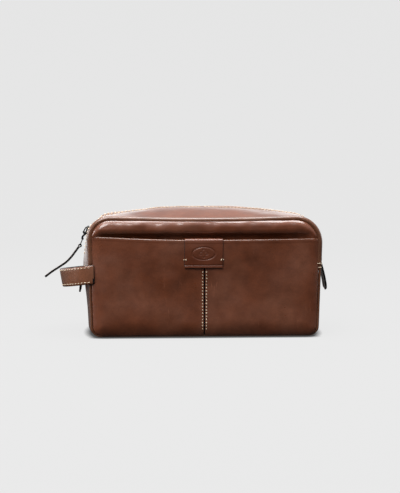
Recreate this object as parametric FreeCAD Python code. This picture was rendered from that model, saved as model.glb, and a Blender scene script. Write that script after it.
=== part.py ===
"""Leather wash bag: a flat-fronted box bag with a zip over its domed top.

Millimetres. +Z is up, +X runs along the width, and the front, with the slip pocket, faces -Y.
The origin is the centre of the resting face under the base. The zip slider and the carrying
loop are on the -X end.
"""
import FreeCAD, Part
import math
import os

from FreeCAD import Vector

# Bag body: the seam line where the gusset meets a panel
HALF_BASE = 121.5
HALF_TOP = 127.5
SEAM_LOW = 2.7
SEAM_HIGH = 130.5
HALF_DEPTH = 55.0
FLOOR_HALF_DEPTH = HALF_DEPTH * 2 / 3
FLOOR_DIP = 0.3
LOW_END_BULGE = 8.0
HIGH_END_BULGE = 3.5
CORNER_RISE = 2.1
TOP_SLOPE = 7.7
LOW_RADIUS = 9.0
HIGH_RADIUS = 27.0
STATION_COUNT = 7

# Leather, lining and edge piping
LEATHER = 1.8
LINING = 0.6
PIPING_RADIUS = 2.5
PIPING_Y = HALF_DEPTH + 2.6
PANEL_INNER_Y = HALF_DEPTH + 3.4
PANEL_OUTER_Y = PANEL_INNER_Y + 2.0
PANEL_INSET = 2.8
PANEL_LINING_Y = HALF_DEPTH + 2.6
PANEL_LINING_INSET = 3.4
LOWER_LINING_INSET = 3.9
BOARD = (105.0, 36.0, 2.0, 3.6)

# End seams, where the zip gusset meets the lower gusset, and the cut where the top panels swing
END_SEAM_Z = 79.0
END_SEAM_GAP = 0.4
FLAP_HALF_LENGTH = 103.0
FLAP_GAP = 0.4
FLAP_HINGE_Y = 53.5
FLAP_EDGE_Y = 52.7

# Zip: each half of the chain lies beside a narrow centre gap
ZIP_LEATHER_Y = 4.6
TAPE_HALF_WIDTH = 16.0
TAPE_INSET = 2.0
TAPE_THICKNESS = 0.5
COIL_INNER_Y = 0.5
COIL_OUTER_Y = 2.8
COIL_PROUD = 0.3
STOP_LOW = 81.5
STOP_HIGH = 84.5
COIL_LOW = 85.0
ZIP_LINING_INSET = 2.7
ZIP_LINING = 0.5

# Stitches
STITCH_LENGTH = 2.8
STITCH_WIDTH = 0.7
STITCH_HEIGHT = 0.4
STITCH_LIFT = 0.05
STITCH_PITCH = 4.0
ZIP_STITCH_Y = 7.6
END_STITCH_ROWS = (-2.2, 2.6)
END_STITCH_FIRST_Y = 15.0
END_STITCH_COUNT = 9
HANDLE_STITCH_INSET = 2.2

# Slip pocket on the front, with its seam a little left of the middle
POCKET_SEAM_X = -2.0
POCKET_BACK_Y = -(PANEL_OUTER_Y + 0.2)
POCKET_HALF_WIDTH = 116.0
POCKET_LOW = 8.0
POCKET_HIGH = 109.0
POCKET_LOW_SAGITTA = 0.6
POCKET_MOUTH_SAGITTA = 8.0
POCKET_SEAM_HALF_GAP = 0.8
POCKET_STITCH_X = 2.1
POCKET_STITCH_LOW = 12.0
POCKET_STITCH_COUNT = 16

# Tab folded over the pocket edge
TAB_HALF_WIDTH = 21.5
TAB_LOW = 77.5
TAB_TOP = 110.7
TAB_INNER_LOW = 92.0
TAB_THICKNESS = 1.3
TAB_CLEARANCE = 0.1
TAB_STITCH_X = 19.6
TAB_STITCH_Z = 86.0

# Carrying loop on the left end
HANDLE_PIVOT = Vector(-133.5, 0.0, 69.0)
HANDLE_REACH = 26.5
HANDLE_HALF_SPAN = 52.0
HANDLE_WIDTH = 20.0
HANDLE_LAYER = 1.45
HANDLE_LAYER_GAP = 0.05
HANDLE_DROOP = -16.0
HANDLE_CUT = 0.25
HANDLE_END_Y = 54.0

# Zip slider and its pull
SLIDER_HALF_ANGLE = 10.6
SLIDER_REST_ANGLE = 12.8
SLIDER_HALF_WIDTH = 4.5
SLIDER_TOP = (1.0, 2.4)
SLIDER_BOTTOM = (3.2, 4.4)
SLIDER_BLADE_HALF = 0.2
PULL_PIVOT = Vector(-135.2, 0.0, 113.5)
KNUCKLE = Vector(-136.6, 0.0, 105.9)
PULL_EYE = Vector(-139.7, 0.0, 98.1)
BRIDGE_HALF_WIDTH = 1.0
BRIDGE_RADII = (1.1, 2.5)
PLATE_HALF_WIDTH = 3.6
PLATE_THICKNESS = 1.4
PLATE_WINDOW_HALF = 1.6
PLATE_WINDOW_LENGTH = 3.4
KNUCKLE_RADII = (0.85, 1.45)
WIRE_RADIUS = 0.55
WIRE_HALF_SPAN = 5.0
STRIP_HALF_WIDTH = 4.0
STRIP_THICKNESS = 2.0
STRIP_EYE_RADII = (0.85, 2.2)
STRIP_PATH = ((-142.4, 94.5), (-149.8, 84.7), (-155.5, 79.1), (-163.4, 73.6), (-173.1, 66.9), (-179.7, 62.3))

# Leather tabs that hang from the end seams
END_TAB_X = 133.5
END_TAB_TOP = 78.0
END_TAB_LENGTH = 32.0
END_TAB_HALF_WIDTH = 12.0
END_TAB_THICKNESS = 2.0
END_TAB_CORNER = 8.0
END_TAB_SPLAY = 13.0

Y_AXIS = Vector(0, 1, 0)
FAR = 400.0


def box(low, high):
    """A block between two opposite corners."""
    size = [high[i] - low[i] for i in range(3)]
    return Part.makeBox(size[0], size[1], size[2], Vector(*low))


def bulge(y):
    """How far the gusset has swelled at depth y, from 0 at a panel to 1 in the middle."""
    return 1.0 - (y / HALF_DEPTH) ** 2


def station_depths():
    """The depths of the cross-sections that the gusset runs straight between."""
    step = 2 * HALF_DEPTH / (STATION_COUNT - 1)
    return [step * i - HALF_DEPTH for i in range(STATION_COUNT)]


def between_stations(y, value):
    """A value at depth y, straight between the two stations beside it."""
    depths = station_depths()
    step = depths[1] - depths[0]
    index = min(int((y - depths[0]) / step), STATION_COUNT - 2)
    share = (y - depths[index]) / step
    return value(depths[index]) * (1 - share) + value(depths[index + 1]) * share


def seam_floor(y):
    """Height of the base at depth y: level in the middle, and lifted to the seam at each panel."""
    share = max(0.0, (abs(y) - FLOOR_HALF_DEPTH) / (HALF_DEPTH - FLOOR_HALF_DEPTH))
    return (SEAM_LOW + FLOOR_DIP) * share - FLOOR_DIP


def top_slope(y):
    """Slope of the arched top where it meets a corner at depth y, in radians."""
    return math.radians(TOP_SLOPE) * bulge(y)


def corner_height(y, inset=0.0):
    """Height where the line of an end meets the slope of the top, drawn in by an inset."""
    slope = top_slope(y)
    return SEAM_HIGH + CORNER_RISE * bulge(y) + inset * (math.tan(slope) - 1 / math.cos(slope))


def arch_height(x, y):
    """Height of the top at x, in the cross-section at station depth y."""
    start = outline_corners(y, 0.0)[2][2]
    slope = top_slope(y)
    if slope < 1e-6:
        return start.z
    radius = start.x / math.sin(slope)
    crest = start.z + start.x * math.tan(slope / 2)
    return crest - radius + math.sqrt(radius ** 2 - x ** 2)


def top_height(x, y):
    """Height of the domed top at a point."""
    return between_stations(y, lambda at: arch_height(x, at))


def side_reach(y, z):
    """Half width at station depth y and height z, along the straight side of the outline."""
    low = HALF_BASE + LOW_END_BULGE * bulge(y)
    high = HALF_TOP + HIGH_END_BULGE * bulge(y)
    floor = seam_floor(y)
    share = (z - floor) / (corner_height(y) - floor)
    return low + (high - low) * share


def end_reach(y, z):
    """Half width of the bag at depth y and height z, below its top corners."""
    return between_stations(y, lambda at: side_reach(at, z))


def fillet(before, corner, after, radius):
    """Start, middle and end points and centre of the arc that rounds a corner."""
    to_before = (before - corner).normalize()
    to_after = (after - corner).normalize()
    half = to_before.getAngle(to_after) / 2
    reach = radius / math.tan(half)
    bisector = (to_before + to_after).normalize()
    centre = corner + bisector * (radius / math.sin(half))
    return corner + to_before * reach, centre - bisector * radius, corner + to_after * reach, centre


def outline_corners(y, inset):
    """The four rounded corners of the bag's outline at depth y, drawn in by an inset."""
    low_half = HALF_BASE + LOW_END_BULGE * bulge(y) - inset
    high_half = HALF_TOP + HIGH_END_BULGE * bulge(y) - inset
    low = seam_floor(y) + inset
    high = corner_height(y, inset)
    crown = Vector(0, y, high + high_half * math.tan(top_slope(y)))
    points = [
        Vector(-low_half, y, low),
        Vector(low_half, y, low),
        Vector(high_half, y, high),
        Vector(-high_half, y, high),
    ]
    return [
        fillet(points[3], points[0], points[1], LOW_RADIUS - inset),
        fillet(points[0], points[1], points[2], LOW_RADIUS - inset),
        fillet(points[1], points[2], crown, HIGH_RADIUS - inset),
        fillet(crown, points[3], points[0], HIGH_RADIUS - inset),
    ]


def side_edge(start, end, slope):
    """The side of an outline between two corners: straight, or arched if it has a slope."""
    if slope < 1e-6:
        return Part.LineSegment(start, end).toShape()
    crest = Vector(0, start.y, start.z + start.x * math.tan(slope / 2))
    return Part.Arc(start, crest, end).toShape()


def outline(y, inset, at=None):
    """The closed outline at depth y, placed at depth at if that is given."""
    corners = outline_corners(y, inset)
    edges = []
    for i, (start, middle, end, _) in enumerate(corners):
        following = corners[(i + 1) % 4][0]
        slope = top_slope(y) if i == 2 else 0.0
        edges.append(Part.Arc(start, middle, end).toShape())
        edges.append(side_edge(end, following, slope))
    wire = Part.Wire(edges)
    if at is not None:
        wire.translate(Vector(0, at - y, 0))
    return wire


def bag_space(inset):
    """The whole volume of the bag between the panels, drawn in by an inset."""
    return Part.makeLoft([outline(y, inset) for y in station_depths()], True, True)


def gusset_layer(outer_inset, inner_inset):
    """A closed band of the gusset between two insets."""
    return bag_space(outer_inset).cut(bag_space(inner_inset))


def panel(side, inner_y, outer_y, inset):
    """A flat front (-1) or back (1) sheet of the bag's outline."""
    wire = outline(-HALF_DEPTH, inset, side * inner_y)
    return Part.Face(wire).extrude(Vector(0, side * (outer_y - inner_y), 0))


def piping(side):
    """The round edge that covers the seam between a panel and the gusset."""
    path = outline(-HALF_DEPTH, 0.0, side * PIPING_Y)
    start = path.Vertexes[0].Point
    direction = path.Edges[0].tangentAt(path.Edges[0].FirstParameter)
    profile = Part.Wire([Part.makeCircle(PIPING_RADIUS, start, direction)])
    return path.makePipeShell([profile], True, True)


def across(low, high, side):
    """Depth limits of a strip on the front (-1) or rear (1) side of the zip."""
    return (side * low, side * high) if side > 0 else (side * high, side * low)


def end_region(end, depths):
    """The part of one end above its seam, between two depths."""
    near = FLAP_HALF_LENGTH + FLAP_GAP
    xs = (near, FAR) if end > 0 else (-FAR, -near)
    return box((xs[0], depths[0], END_SEAM_Z + END_SEAM_GAP), (xs[1], depths[1], FAR))


def top_region(depths):
    """The part of the top that swings, between two depths."""
    return box((-FLAP_HALF_LENGTH, depths[0], END_SEAM_Z), (FLAP_HALF_LENGTH, depths[1], FAR))


def stitch_on_top(x, y):
    """One stitch along the zip, lying on the top."""
    corners = [(x + dx * STITCH_LENGTH / 2, y + dy * STITCH_WIDTH / 2) for dx in (-1, 1) for dy in (-1, 1)]
    low = max(top_height(*corner) for corner in corners) + STITCH_LIFT
    return box(
        (x - STITCH_LENGTH / 2, y - STITCH_WIDTH / 2, low),
        (x + STITCH_LENGTH / 2, y + STITCH_WIDTH / 2, low + STITCH_HEIGHT),
    )


def stitch_on_end(end, y, z, length_y, length_z):
    """One stitch lying on an end of the bag."""
    inner = max(
        end_reach(y + dy * length_y / 2, z + dz * length_z / 2) for dy in (-1, 1) for dz in (-1, 1)
    )
    xs = sorted((end * (inner + STITCH_LIFT), end * (inner + STITCH_LIFT + STITCH_HEIGHT)))
    return box(
        (xs[0], y - length_y / 2, z - length_z / 2),
        (xs[1], y + length_y / 2, z + length_z / 2),
    )


def lower_gusset():
    """The base and both ends below the seams, pressed flat where the bag stands on it."""
    return gusset_layer(0.0, LEATHER).common(box((-FAR, -FAR, 0.0), (FAR, FAR, END_SEAM_Z)))


def lower_lining():
    layer = gusset_layer(LOWER_LINING_INSET, LOWER_LINING_INSET + LINING)
    return layer.common(box((-FAR, -FAR, -FAR), (FAR, FAR, END_SEAM_Z)))


def base_board():
    half_length, half_depth, low, high = BOARD
    return box((-half_length, -half_depth, low), (half_length, half_depth, high))


def end_seam_stitches(end):
    """Two rows of stitches across each end seam, either side of the hanging tab."""
    stitches = []
    for row in END_STITCH_ROWS:
        for side in (-1, 1):
            for i in range(END_STITCH_COUNT):
                y = side * (END_STITCH_FIRST_Y + STITCH_PITCH * i)
                stitches.append(stitch_on_end(end, y, END_SEAM_Z + row, STITCH_LENGTH, STITCH_WIDTH))
    return Part.makeCompound(stitches)


def end_zip_stitches(end):
    """The stitches along both zip edges, up the straight part of one end."""
    stitches = []
    top = outline_corners(0.0, 0.0)[2][3].z
    count = int((top - END_SEAM_Z - 2 * STITCH_PITCH) / STITCH_PITCH)
    for side in (-1, 1):
        for i in range(count):
            z = END_SEAM_Z + STITCH_PITCH * (i + 1.5)
            stitches.append(stitch_on_end(end, side * ZIP_STITCH_Y, z, STITCH_WIDTH, STITCH_LENGTH))
    return Part.makeCompound(stitches)


def top_zip_stitches(side):
    """The stitches along one zip edge of the top."""
    count = int(2 * FLAP_HALF_LENGTH / STITCH_PITCH)
    first = -STITCH_PITCH * (count - 1) / 2
    return Part.makeCompound([stitch_on_top(first + STITCH_PITCH * i, side * ZIP_STITCH_Y) for i in range(count)])


def pocket_sagitta(z):
    """How far the pocket stands off the front panel in the middle, at height z."""
    share = (z - POCKET_LOW) / (POCKET_HIGH - POCKET_LOW)
    return POCKET_LOW_SAGITTA + (POCKET_MOUTH_SAGITTA - POCKET_LOW_SAGITTA) * share


def pocket_section(z, grown):
    """Plan outline of the space under the pocket at height z, grown outwards."""
    half = POCKET_HALF_WIDTH + grown
    left = Vector(-half, POCKET_BACK_Y, z)
    right = Vector(half, POCKET_BACK_Y, z)
    middle = Vector(0, POCKET_BACK_Y - pocket_sagitta(z) - grown, z)
    return Part.Wire([Part.Arc(left, middle, right).toShape(), Part.LineSegment(right, left).toShape()])


def pocket_wedge(grown, low, high):
    """The space under the pocket between two heights, grown outwards."""
    return Part.makeLoft([pocket_section(low, grown), pocket_section(high, grown)], True, True)


def pocket_half(end):
    """One half of the pocket, from the centre seam to its end."""
    leather = pocket_wedge(LEATHER, POCKET_LOW, POCKET_HIGH)
    hollow = pocket_wedge(0.0, POCKET_LOW + LEATHER, POCKET_HIGH + 1.0)
    xs = sorted((POCKET_SEAM_X + end * POCKET_SEAM_HALF_GAP, end * FAR))
    return leather.cut(hollow).common(box((xs[0], -FAR, -FAR), (xs[1], FAR, FAR)))


def pocket_face_y(x, z, grown):
    """Depth of the pocket's outer face at a point near its middle."""
    half = POCKET_HALF_WIDTH + grown
    rise = pocket_sagitta(z) + grown
    return POCKET_BACK_Y - rise * (1 - (x / half) ** 2)


def pocket_tab():
    """The leather tab folded over the pocket's edge, with legs inside and outside."""
    outside = TAB_CLEARANCE + LEATHER
    inside = -TAB_CLEARANCE - TAB_THICKNESS
    xs = (POCKET_SEAM_X - TAB_HALF_WIDTH, POCKET_SEAM_X + TAB_HALF_WIDTH)
    strip = box((xs[0], -FAR, -FAR), (xs[1], FAR, FAR))
    outer_leg = pocket_wedge(outside + TAB_THICKNESS, TAB_LOW, TAB_TOP)
    outer_leg = outer_leg.cut(pocket_wedge(outside, TAB_LOW - 1, POCKET_HIGH + TAB_CLEARANCE))
    outer_leg = outer_leg.cut(pocket_wedge(inside, TAB_LOW - 1, TAB_TOP + 1))
    inner_leg = pocket_wedge(-TAB_CLEARANCE, TAB_INNER_LOW, TAB_TOP)
    inner_leg = inner_leg.cut(pocket_wedge(inside, TAB_INNER_LOW - 1, TAB_TOP + 1))
    return outer_leg.fuse(inner_leg).common(strip).removeSplitter()


def stitch_on_pocket(x, z, grown):
    """One upright stitch lying on the pocket or on the tab, x away from the pocket's seam."""
    x = POCKET_SEAM_X + x
    y = min(pocket_face_y(x, z + dz * STITCH_LENGTH / 2, grown) for dz in (-1, 1)) - STITCH_LIFT
    return box(
        (x - STITCH_WIDTH / 2, y - STITCH_HEIGHT, z - STITCH_LENGTH / 2),
        (x + STITCH_WIDTH / 2, y, z + STITCH_LENGTH / 2),
    )


def pocket_seam_stitches():
    """Two rows of stitches, one either side of the pocket's centre seam."""
    stitches = []
    for side in (-1, 1):
        for i in range(POCKET_STITCH_COUNT):
            z = POCKET_STITCH_LOW + STITCH_PITCH * i
            stitches.append(stitch_on_pocket(side * POCKET_STITCH_X, z, LEATHER))
    return Part.makeCompound(stitches)


def pocket_tab_stitches():
    """The one stitch at each side of the tab."""
    grown = LEATHER + TAB_CLEARANCE + TAB_THICKNESS
    return Part.makeCompound([stitch_on_pocket(side * TAB_STITCH_X, TAB_STITCH_Z, grown) for side in (-1, 1)])


def handle_centre():
    """Centre of the loop's arc in plan, and its radius."""
    radius = (HANDLE_HALF_SPAN ** 2 + HANDLE_REACH ** 2) / (2 * HANDLE_REACH)
    return Vector(HANDLE_PIVOT.x - HANDLE_REACH + radius, 0, HANDLE_PIVOT.z), radius


def handle_band(inner, outer, half_height):
    """A level ring of the loop between two radii."""
    centre, _ = handle_centre()
    base = Vector(centre.x, centre.y, centre.z - half_height)
    ring = Part.makeCylinder(outer, 2 * half_height, base)
    return ring.cut(Part.makeCylinder(inner, 2 * half_height, base))


def drooped(shape):
    """Tip a level piece of the loop down to where it hangs."""
    shape.rotate(HANDLE_PIVOT, Y_AXIS, HANDLE_DROOP)
    return shape


def handle_layer(inner, outer):
    half = HANDLE_HALF_SPAN - HANDLE_CUT
    region = box((-FAR, -half, -FAR), (handle_centre()[0].x, half, FAR))
    return drooped(handle_band(inner, outer, HANDLE_WIDTH / 2).common(region))


def handle_outer():
    radius = handle_centre()[1]
    return handle_layer(radius + HANDLE_LAYER_GAP / 2, radius + HANDLE_LAYER)


def handle_lining():
    radius = handle_centre()[1]
    return handle_layer(radius - HANDLE_LAYER, radius - HANDLE_LAYER_GAP / 2)


def handle_stitches():
    """Two rows of stitches along the outside of the loop."""
    centre, radius = handle_centre()
    face = radius + HANDLE_LAYER + 3 * STITCH_LIFT
    half_turn = math.degrees(math.asin((HANDLE_HALF_SPAN - STITCH_PITCH) / face))
    step = math.degrees(STITCH_PITCH / face)
    count = int(2 * half_turn / step)
    stitches = []
    for row in (-1, 1):
        z = HANDLE_PIVOT.z + row * (HANDLE_WIDTH / 2 - HANDLE_STITCH_INSET)
        for i in range(count):
            stitch = box(
                (centre.x - face - STITCH_HEIGHT, -STITCH_LENGTH / 2, z - STITCH_WIDTH / 2),
                (centre.x - face, STITCH_LENGTH / 2, z + STITCH_WIDTH / 2),
            )
            stitch.rotate(Vector(centre.x, 0, z), Vector(0, 0, 1), step * (i - (count - 1) / 2))
            stitches.append(drooped(stitch))
    return Part.makeCompound(stitches)


def handle_end(side):
    """The end of the loop that is sewn into the front (-1) or rear (1) seam."""
    radius = handle_centre()[1]
    depths = across(HANDLE_HALF_SPAN + HANDLE_CUT, HANDLE_END_Y, side)
    region = box((-FAR, depths[0], -FAR), (handle_centre()[0].x, depths[1], FAR))
    band = handle_band(radius - HANDLE_LAYER, radius + HANDLE_LAYER, HANDLE_WIDTH / 2)
    return drooped(band.common(region))


def sector(centre, inner, outer, half_width, half_angle):
    """A curved plate about the top corner's centre, with its middle towards -X."""
    base = Vector(centre.x, -half_width, centre.z)
    ring = Part.makeCylinder(outer, 2 * half_width, base, Y_AXIS)
    ring = ring.cut(Part.makeCylinder(inner, 2 * half_width, base, Y_AXIS))
    reach = outer + 1.0
    half_height = reach * math.tan(math.radians(half_angle))
    corners = [
        Vector(centre.x, -half_width, centre.z),
        Vector(centre.x - reach, -half_width, centre.z - half_height),
        Vector(centre.x - reach, -half_width, centre.z + half_height),
    ]
    wedge = Part.Face(Part.makePolygon(corners + corners[:1])).extrude(Vector(0, 2 * half_width, 0))
    return ring.common(wedge)


def slider_body():
    """The slider: plates above and below the chain, joined by a blade, with a bridge for the pull."""
    centre = outline_corners(0.0, 0.0)[3][3]
    top = [HIGH_RADIUS + r for r in SLIDER_TOP]
    bottom = [HIGH_RADIUS - r for r in reversed(SLIDER_BOTTOM)]
    shape = sector(centre, top[0], top[1], SLIDER_HALF_WIDTH, SLIDER_HALF_ANGLE)
    shape = shape.fuse(sector(centre, bottom[0], bottom[1], SLIDER_HALF_WIDTH, SLIDER_HALF_ANGLE))
    shape = shape.fuse(sector(centre, bottom[0], top[1], SLIDER_BLADE_HALF, SLIDER_HALF_ANGLE))
    shape.rotate(centre, Y_AXIS, SLIDER_REST_ANGLE)
    root = (top[0] + top[1]) / 2 * math.cos(math.radians(SLIDER_REST_ANGLE))
    return shape.fuse(slider_bridge(centre.x - root)).removeSplitter()


def slider_bridge(root_x):
    """The arch on the slider that the pull hooks under."""
    inner, outer = BRIDGE_RADII
    base = Vector(PULL_PIVOT.x, -BRIDGE_HALF_WIDTH, PULL_PIVOT.z)
    arch = Part.makeCylinder(outer, 2 * BRIDGE_HALF_WIDTH, base, Y_AXIS)
    legs = box(
        (PULL_PIVOT.x, -BRIDGE_HALF_WIDTH, PULL_PIVOT.z - outer),
        (root_x, BRIDGE_HALF_WIDTH, PULL_PIVOT.z + outer),
    )
    hole = Part.makeCylinder(inner, 2 * BRIDGE_HALF_WIDTH, base, Y_AXIS)
    return arch.fuse(legs).cut(hole)


def band(points, thickness, half_width):
    """A strip of constant thickness that follows points in the XZ plane, across Y."""
    sides = ([], [])
    for i, point in enumerate(points):
        before = points[max(i - 1, 0)]
        after = points[min(i + 1, len(points) - 1)]
        into = (point - before) if i else (after - point)
        out = (after - point) if i < len(points) - 1 else into
        into = Vector(into).normalize()
        out = Vector(out).normalize()
        along = (into + out).normalize()
        normal = Vector(-along.z, 0, along.x)
        reach = thickness / 2 / max(along.dot(into), 0.5)
        sides[0].append(point + normal * reach)
        sides[1].append(point - normal * reach)
    corners = sides[0] + sides[1][::-1]
    face = Part.Face(Part.makePolygon(corners + corners[:1]))
    face.translate(Vector(0, -half_width, 0))
    return face.extrude(Vector(0, 2 * half_width, 0))


def rod(centre, radius, half_width):
    """A round bar across Y."""
    base = Vector(centre.x, -half_width, centre.z)
    return Part.makeCylinder(radius, 2 * half_width, base, Y_AXIS)


def pull_plate():
    """The metal plate that swings on the slider's bridge, with a rolled knuckle at its foot."""
    along = (KNUCKLE - PULL_PIVOT).normalize()
    plate = band([PULL_PIVOT, KNUCKLE], PLATE_THICKNESS, PLATE_HALF_WIDTH)
    plate = plate.fuse(rod(PULL_PIVOT, PLATE_THICKNESS / 2, PLATE_HALF_WIDTH))
    plate = plate.fuse(rod(KNUCKLE, KNUCKLE_RADII[1], PLATE_HALF_WIDTH))
    window_start = PULL_PIVOT + along * (PLATE_THICKNESS / 2)
    window_end = PULL_PIVOT + along * PLATE_WINDOW_LENGTH
    plate = plate.cut(band([window_start, window_end], 2 * PLATE_THICKNESS, PLATE_WINDOW_HALF))
    return plate.cut(rod(KNUCKLE, KNUCKLE_RADII[0], PLATE_HALF_WIDTH + 1)).removeSplitter()


def pull_link():
    """The wire frame between the plate's knuckle and the eye of the leather pull."""
    along = PULL_EYE - KNUCKLE
    shape = rod(KNUCKLE, WIRE_RADIUS, WIRE_HALF_SPAN).fuse(rod(PULL_EYE, WIRE_RADIUS, WIRE_HALF_SPAN))
    for side in (-1, 1):
        offset = Vector(0, side * WIRE_HALF_SPAN, 0)
        shape = shape.fuse(Part.makeCylinder(WIRE_RADIUS, along.Length, KNUCKLE + offset, along))
        for end in (KNUCKLE, PULL_EYE):
            shape = shape.fuse(Part.makeSphere(WIRE_RADIUS, end + offset))
    return shape.removeSplitter()


def leather_pull():
    """The leather strip, doubled over the wire link and glued to itself."""
    points = [PULL_EYE] + [Vector(x, 0, z) for x, z in STRIP_PATH]
    shape = band(points, STRIP_THICKNESS, STRIP_HALF_WIDTH)
    shape = shape.fuse(rod(PULL_EYE, STRIP_EYE_RADII[1], STRIP_HALF_WIDTH))
    return shape.cut(rod(PULL_EYE, STRIP_EYE_RADII[0], STRIP_HALF_WIDTH + 1)).removeSplitter()


def end_tab(end):
    """The leather tab that hangs from an end seam, with rounded lower corners."""
    half = END_TAB_HALF_WIDTH
    low = END_TAB_TOP - END_TAB_LENGTH
    corners = [
        Vector(0, -half, END_TAB_TOP),
        Vector(0, -half, low),
        Vector(0, half, low),
        Vector(0, half, END_TAB_TOP),
    ]
    left = fillet(corners[0], corners[1], corners[2], END_TAB_CORNER)
    right = fillet(corners[1], corners[2], corners[3], END_TAB_CORNER)
    edges = [
        Part.LineSegment(corners[0], left[0]).toShape(),
        Part.Arc(*left[:3]).toShape(),
        Part.LineSegment(left[2], right[0]).toShape(),
        Part.Arc(*right[:3]).toShape(),
        Part.LineSegment(right[2], corners[3]).toShape(),
        Part.LineSegment(corners[3], corners[0]).toShape(),
    ]
    tab = Part.Face(Part.Wire(edges)).extrude(Vector(END_TAB_THICKNESS, 0, 0))
    tab.translate(Vector(end * END_TAB_X - END_TAB_THICKNESS / 2, 0, 0))
    tab.rotate(Vector(end * END_TAB_X, 0, END_TAB_TOP), Y_AXIS, -end * END_TAB_SPLAY)
    return tab


def body_parts():
    """Every piece that stays put when the bag stands closed."""
    parts = {
        "lower_gusset": lower_gusset(),
        "lower_lining": lower_lining(),
        "base_board": base_board(),
        "pocket_left": pocket_half(-1),
        "pocket_right": pocket_half(1),
        "pocket_tab": pocket_tab(),
        "pocket_seam_stitches": pocket_seam_stitches(),
        "pocket_tab_stitches": pocket_tab_stitches(),
    }
    for name, side in (("front", -1), ("back", 1)):
        parts[name + "_panel"] = panel(side, PANEL_INNER_Y, PANEL_OUTER_Y, PANEL_INSET)
        parts[name + "_lining"] = panel(side, PANEL_LINING_Y, PANEL_LINING_Y + LINING, PANEL_LINING_INSET)
        parts[name + "_piping"] = piping(side)
        parts[name + "_handle_end"] = handle_end(side)
    return parts


def zip_layers():
    """The bands that the zip gusset is made of, each with its depth limits either side of the zip."""
    return {
        "gusset": (gusset_layer(0.0, LEATHER), ZIP_LEATHER_Y, HALF_DEPTH, FLAP_EDGE_Y),
        "tape": (
            gusset_layer(TAPE_INSET, TAPE_INSET + TAPE_THICKNESS),
            COIL_INNER_Y,
            TAPE_HALF_WIDTH,
            TAPE_HALF_WIDTH,
        ),
        "coil": (gusset_layer(-COIL_PROUD, TAPE_INSET - 0.1), COIL_INNER_Y, COIL_OUTER_Y, COIL_OUTER_Y),
        "lining": (
            gusset_layer(ZIP_LINING_INSET, ZIP_LINING_INSET + ZIP_LINING),
            ZIP_LEATHER_Y + 1.0,
            HALF_DEPTH - 1.5,
            FLAP_EDGE_Y - 1.5,
        ),
    }


def zip_parts():
    """The zip gusset, its tapes, coils and linings, on both ends and on the two swinging top panels."""
    parts = {}
    above_stop = box((-FAR, -FAR, COIL_LOW), (FAR, FAR, FAR))
    for kind, (layer, inner, outer, top_outer) in zip_layers().items():
        for name, side in (("front", -1), ("back", 1)):
            parts["top_" + name + "_" + kind] = layer.common(top_region(across(inner, top_outer, side)))
        for name, end in (("left", -1), ("right", 1)):
            halves = [layer.common(end_region(end, across(inner, outer, side))) for side in (-1, 1)]
            if kind == "coil":
                halves = [half.common(above_stop) for half in halves]
            if kind == "gusset":
                parts[name + "_end_front_gusset"] = halves[0]
                parts[name + "_end_back_gusset"] = halves[1]
            else:
                parts[name + "_end_" + kind] = Part.makeCompound(halves)
    stop_layer = gusset_layer(-0.8, TAPE_INSET - 0.1)
    for name, end in (("left", -1), ("right", 1)):
        xs = sorted((0.0, end * FAR))
        stop_box = box((xs[0], -COIL_OUTER_Y, STOP_LOW), (xs[1], COIL_OUTER_Y, STOP_HIGH))
        parts[name + "_zip_stop"] = stop_layer.common(stop_box)
        parts[name + "_end_seam_stitches"] = end_seam_stitches(end)
        parts[name + "_end_zip_stitches"] = end_zip_stitches(end)
    for name, side in (("front", -1), ("back", 1)):
        parts["top_" + name + "_stitches"] = top_zip_stitches(side)
    return parts


def hanging_parts():
    """The loop, the slider with its pull, and the end tabs."""
    return {
        "handle_outer": handle_outer(),
        "handle_lining": handle_lining(),
        "handle_stitches": handle_stitches(),
        "slider_body": slider_body(),
        "pull_plate": pull_plate(),
        "pull_link": pull_link(),
        "leather_pull": leather_pull(),
        "left_end_tab": end_tab(-1),
        "right_end_tab": end_tab(1),
    }


def main():
    os.makedirs("parts", exist_ok=True)
    for parts in (body_parts(), zip_parts(), hanging_parts()):
        for name, shape in parts.items():
            if not shape.isValid():
                raise ValueError(name + " is not a valid shape")
            print(f"{name:28s} solids {len(shape.Solids):3d}  volume {shape.Volume:10.1f}")
            shape.exportStep("parts/" + name + ".step")
    centre = outline_corners(0.0, 0.0)[3][3]
    print(f"top corner centre {centre.x:.3f} {centre.z:.3f}, flap hinge height {top_height(0, FLAP_HINGE_Y) - LEATHER / 2:.3f}")


main()
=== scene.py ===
"""The looks of a leather wash bag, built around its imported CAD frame.

Geometry is worked out in millimetres, in the frame's own axes, and scaled to metres as each mesh
is made. The front of the bag faces -Y and its carrying loop and zip slider are on the -X end.
"""

import math

import bmesh
import bpy
import numpy as np
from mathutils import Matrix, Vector, noise

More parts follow.
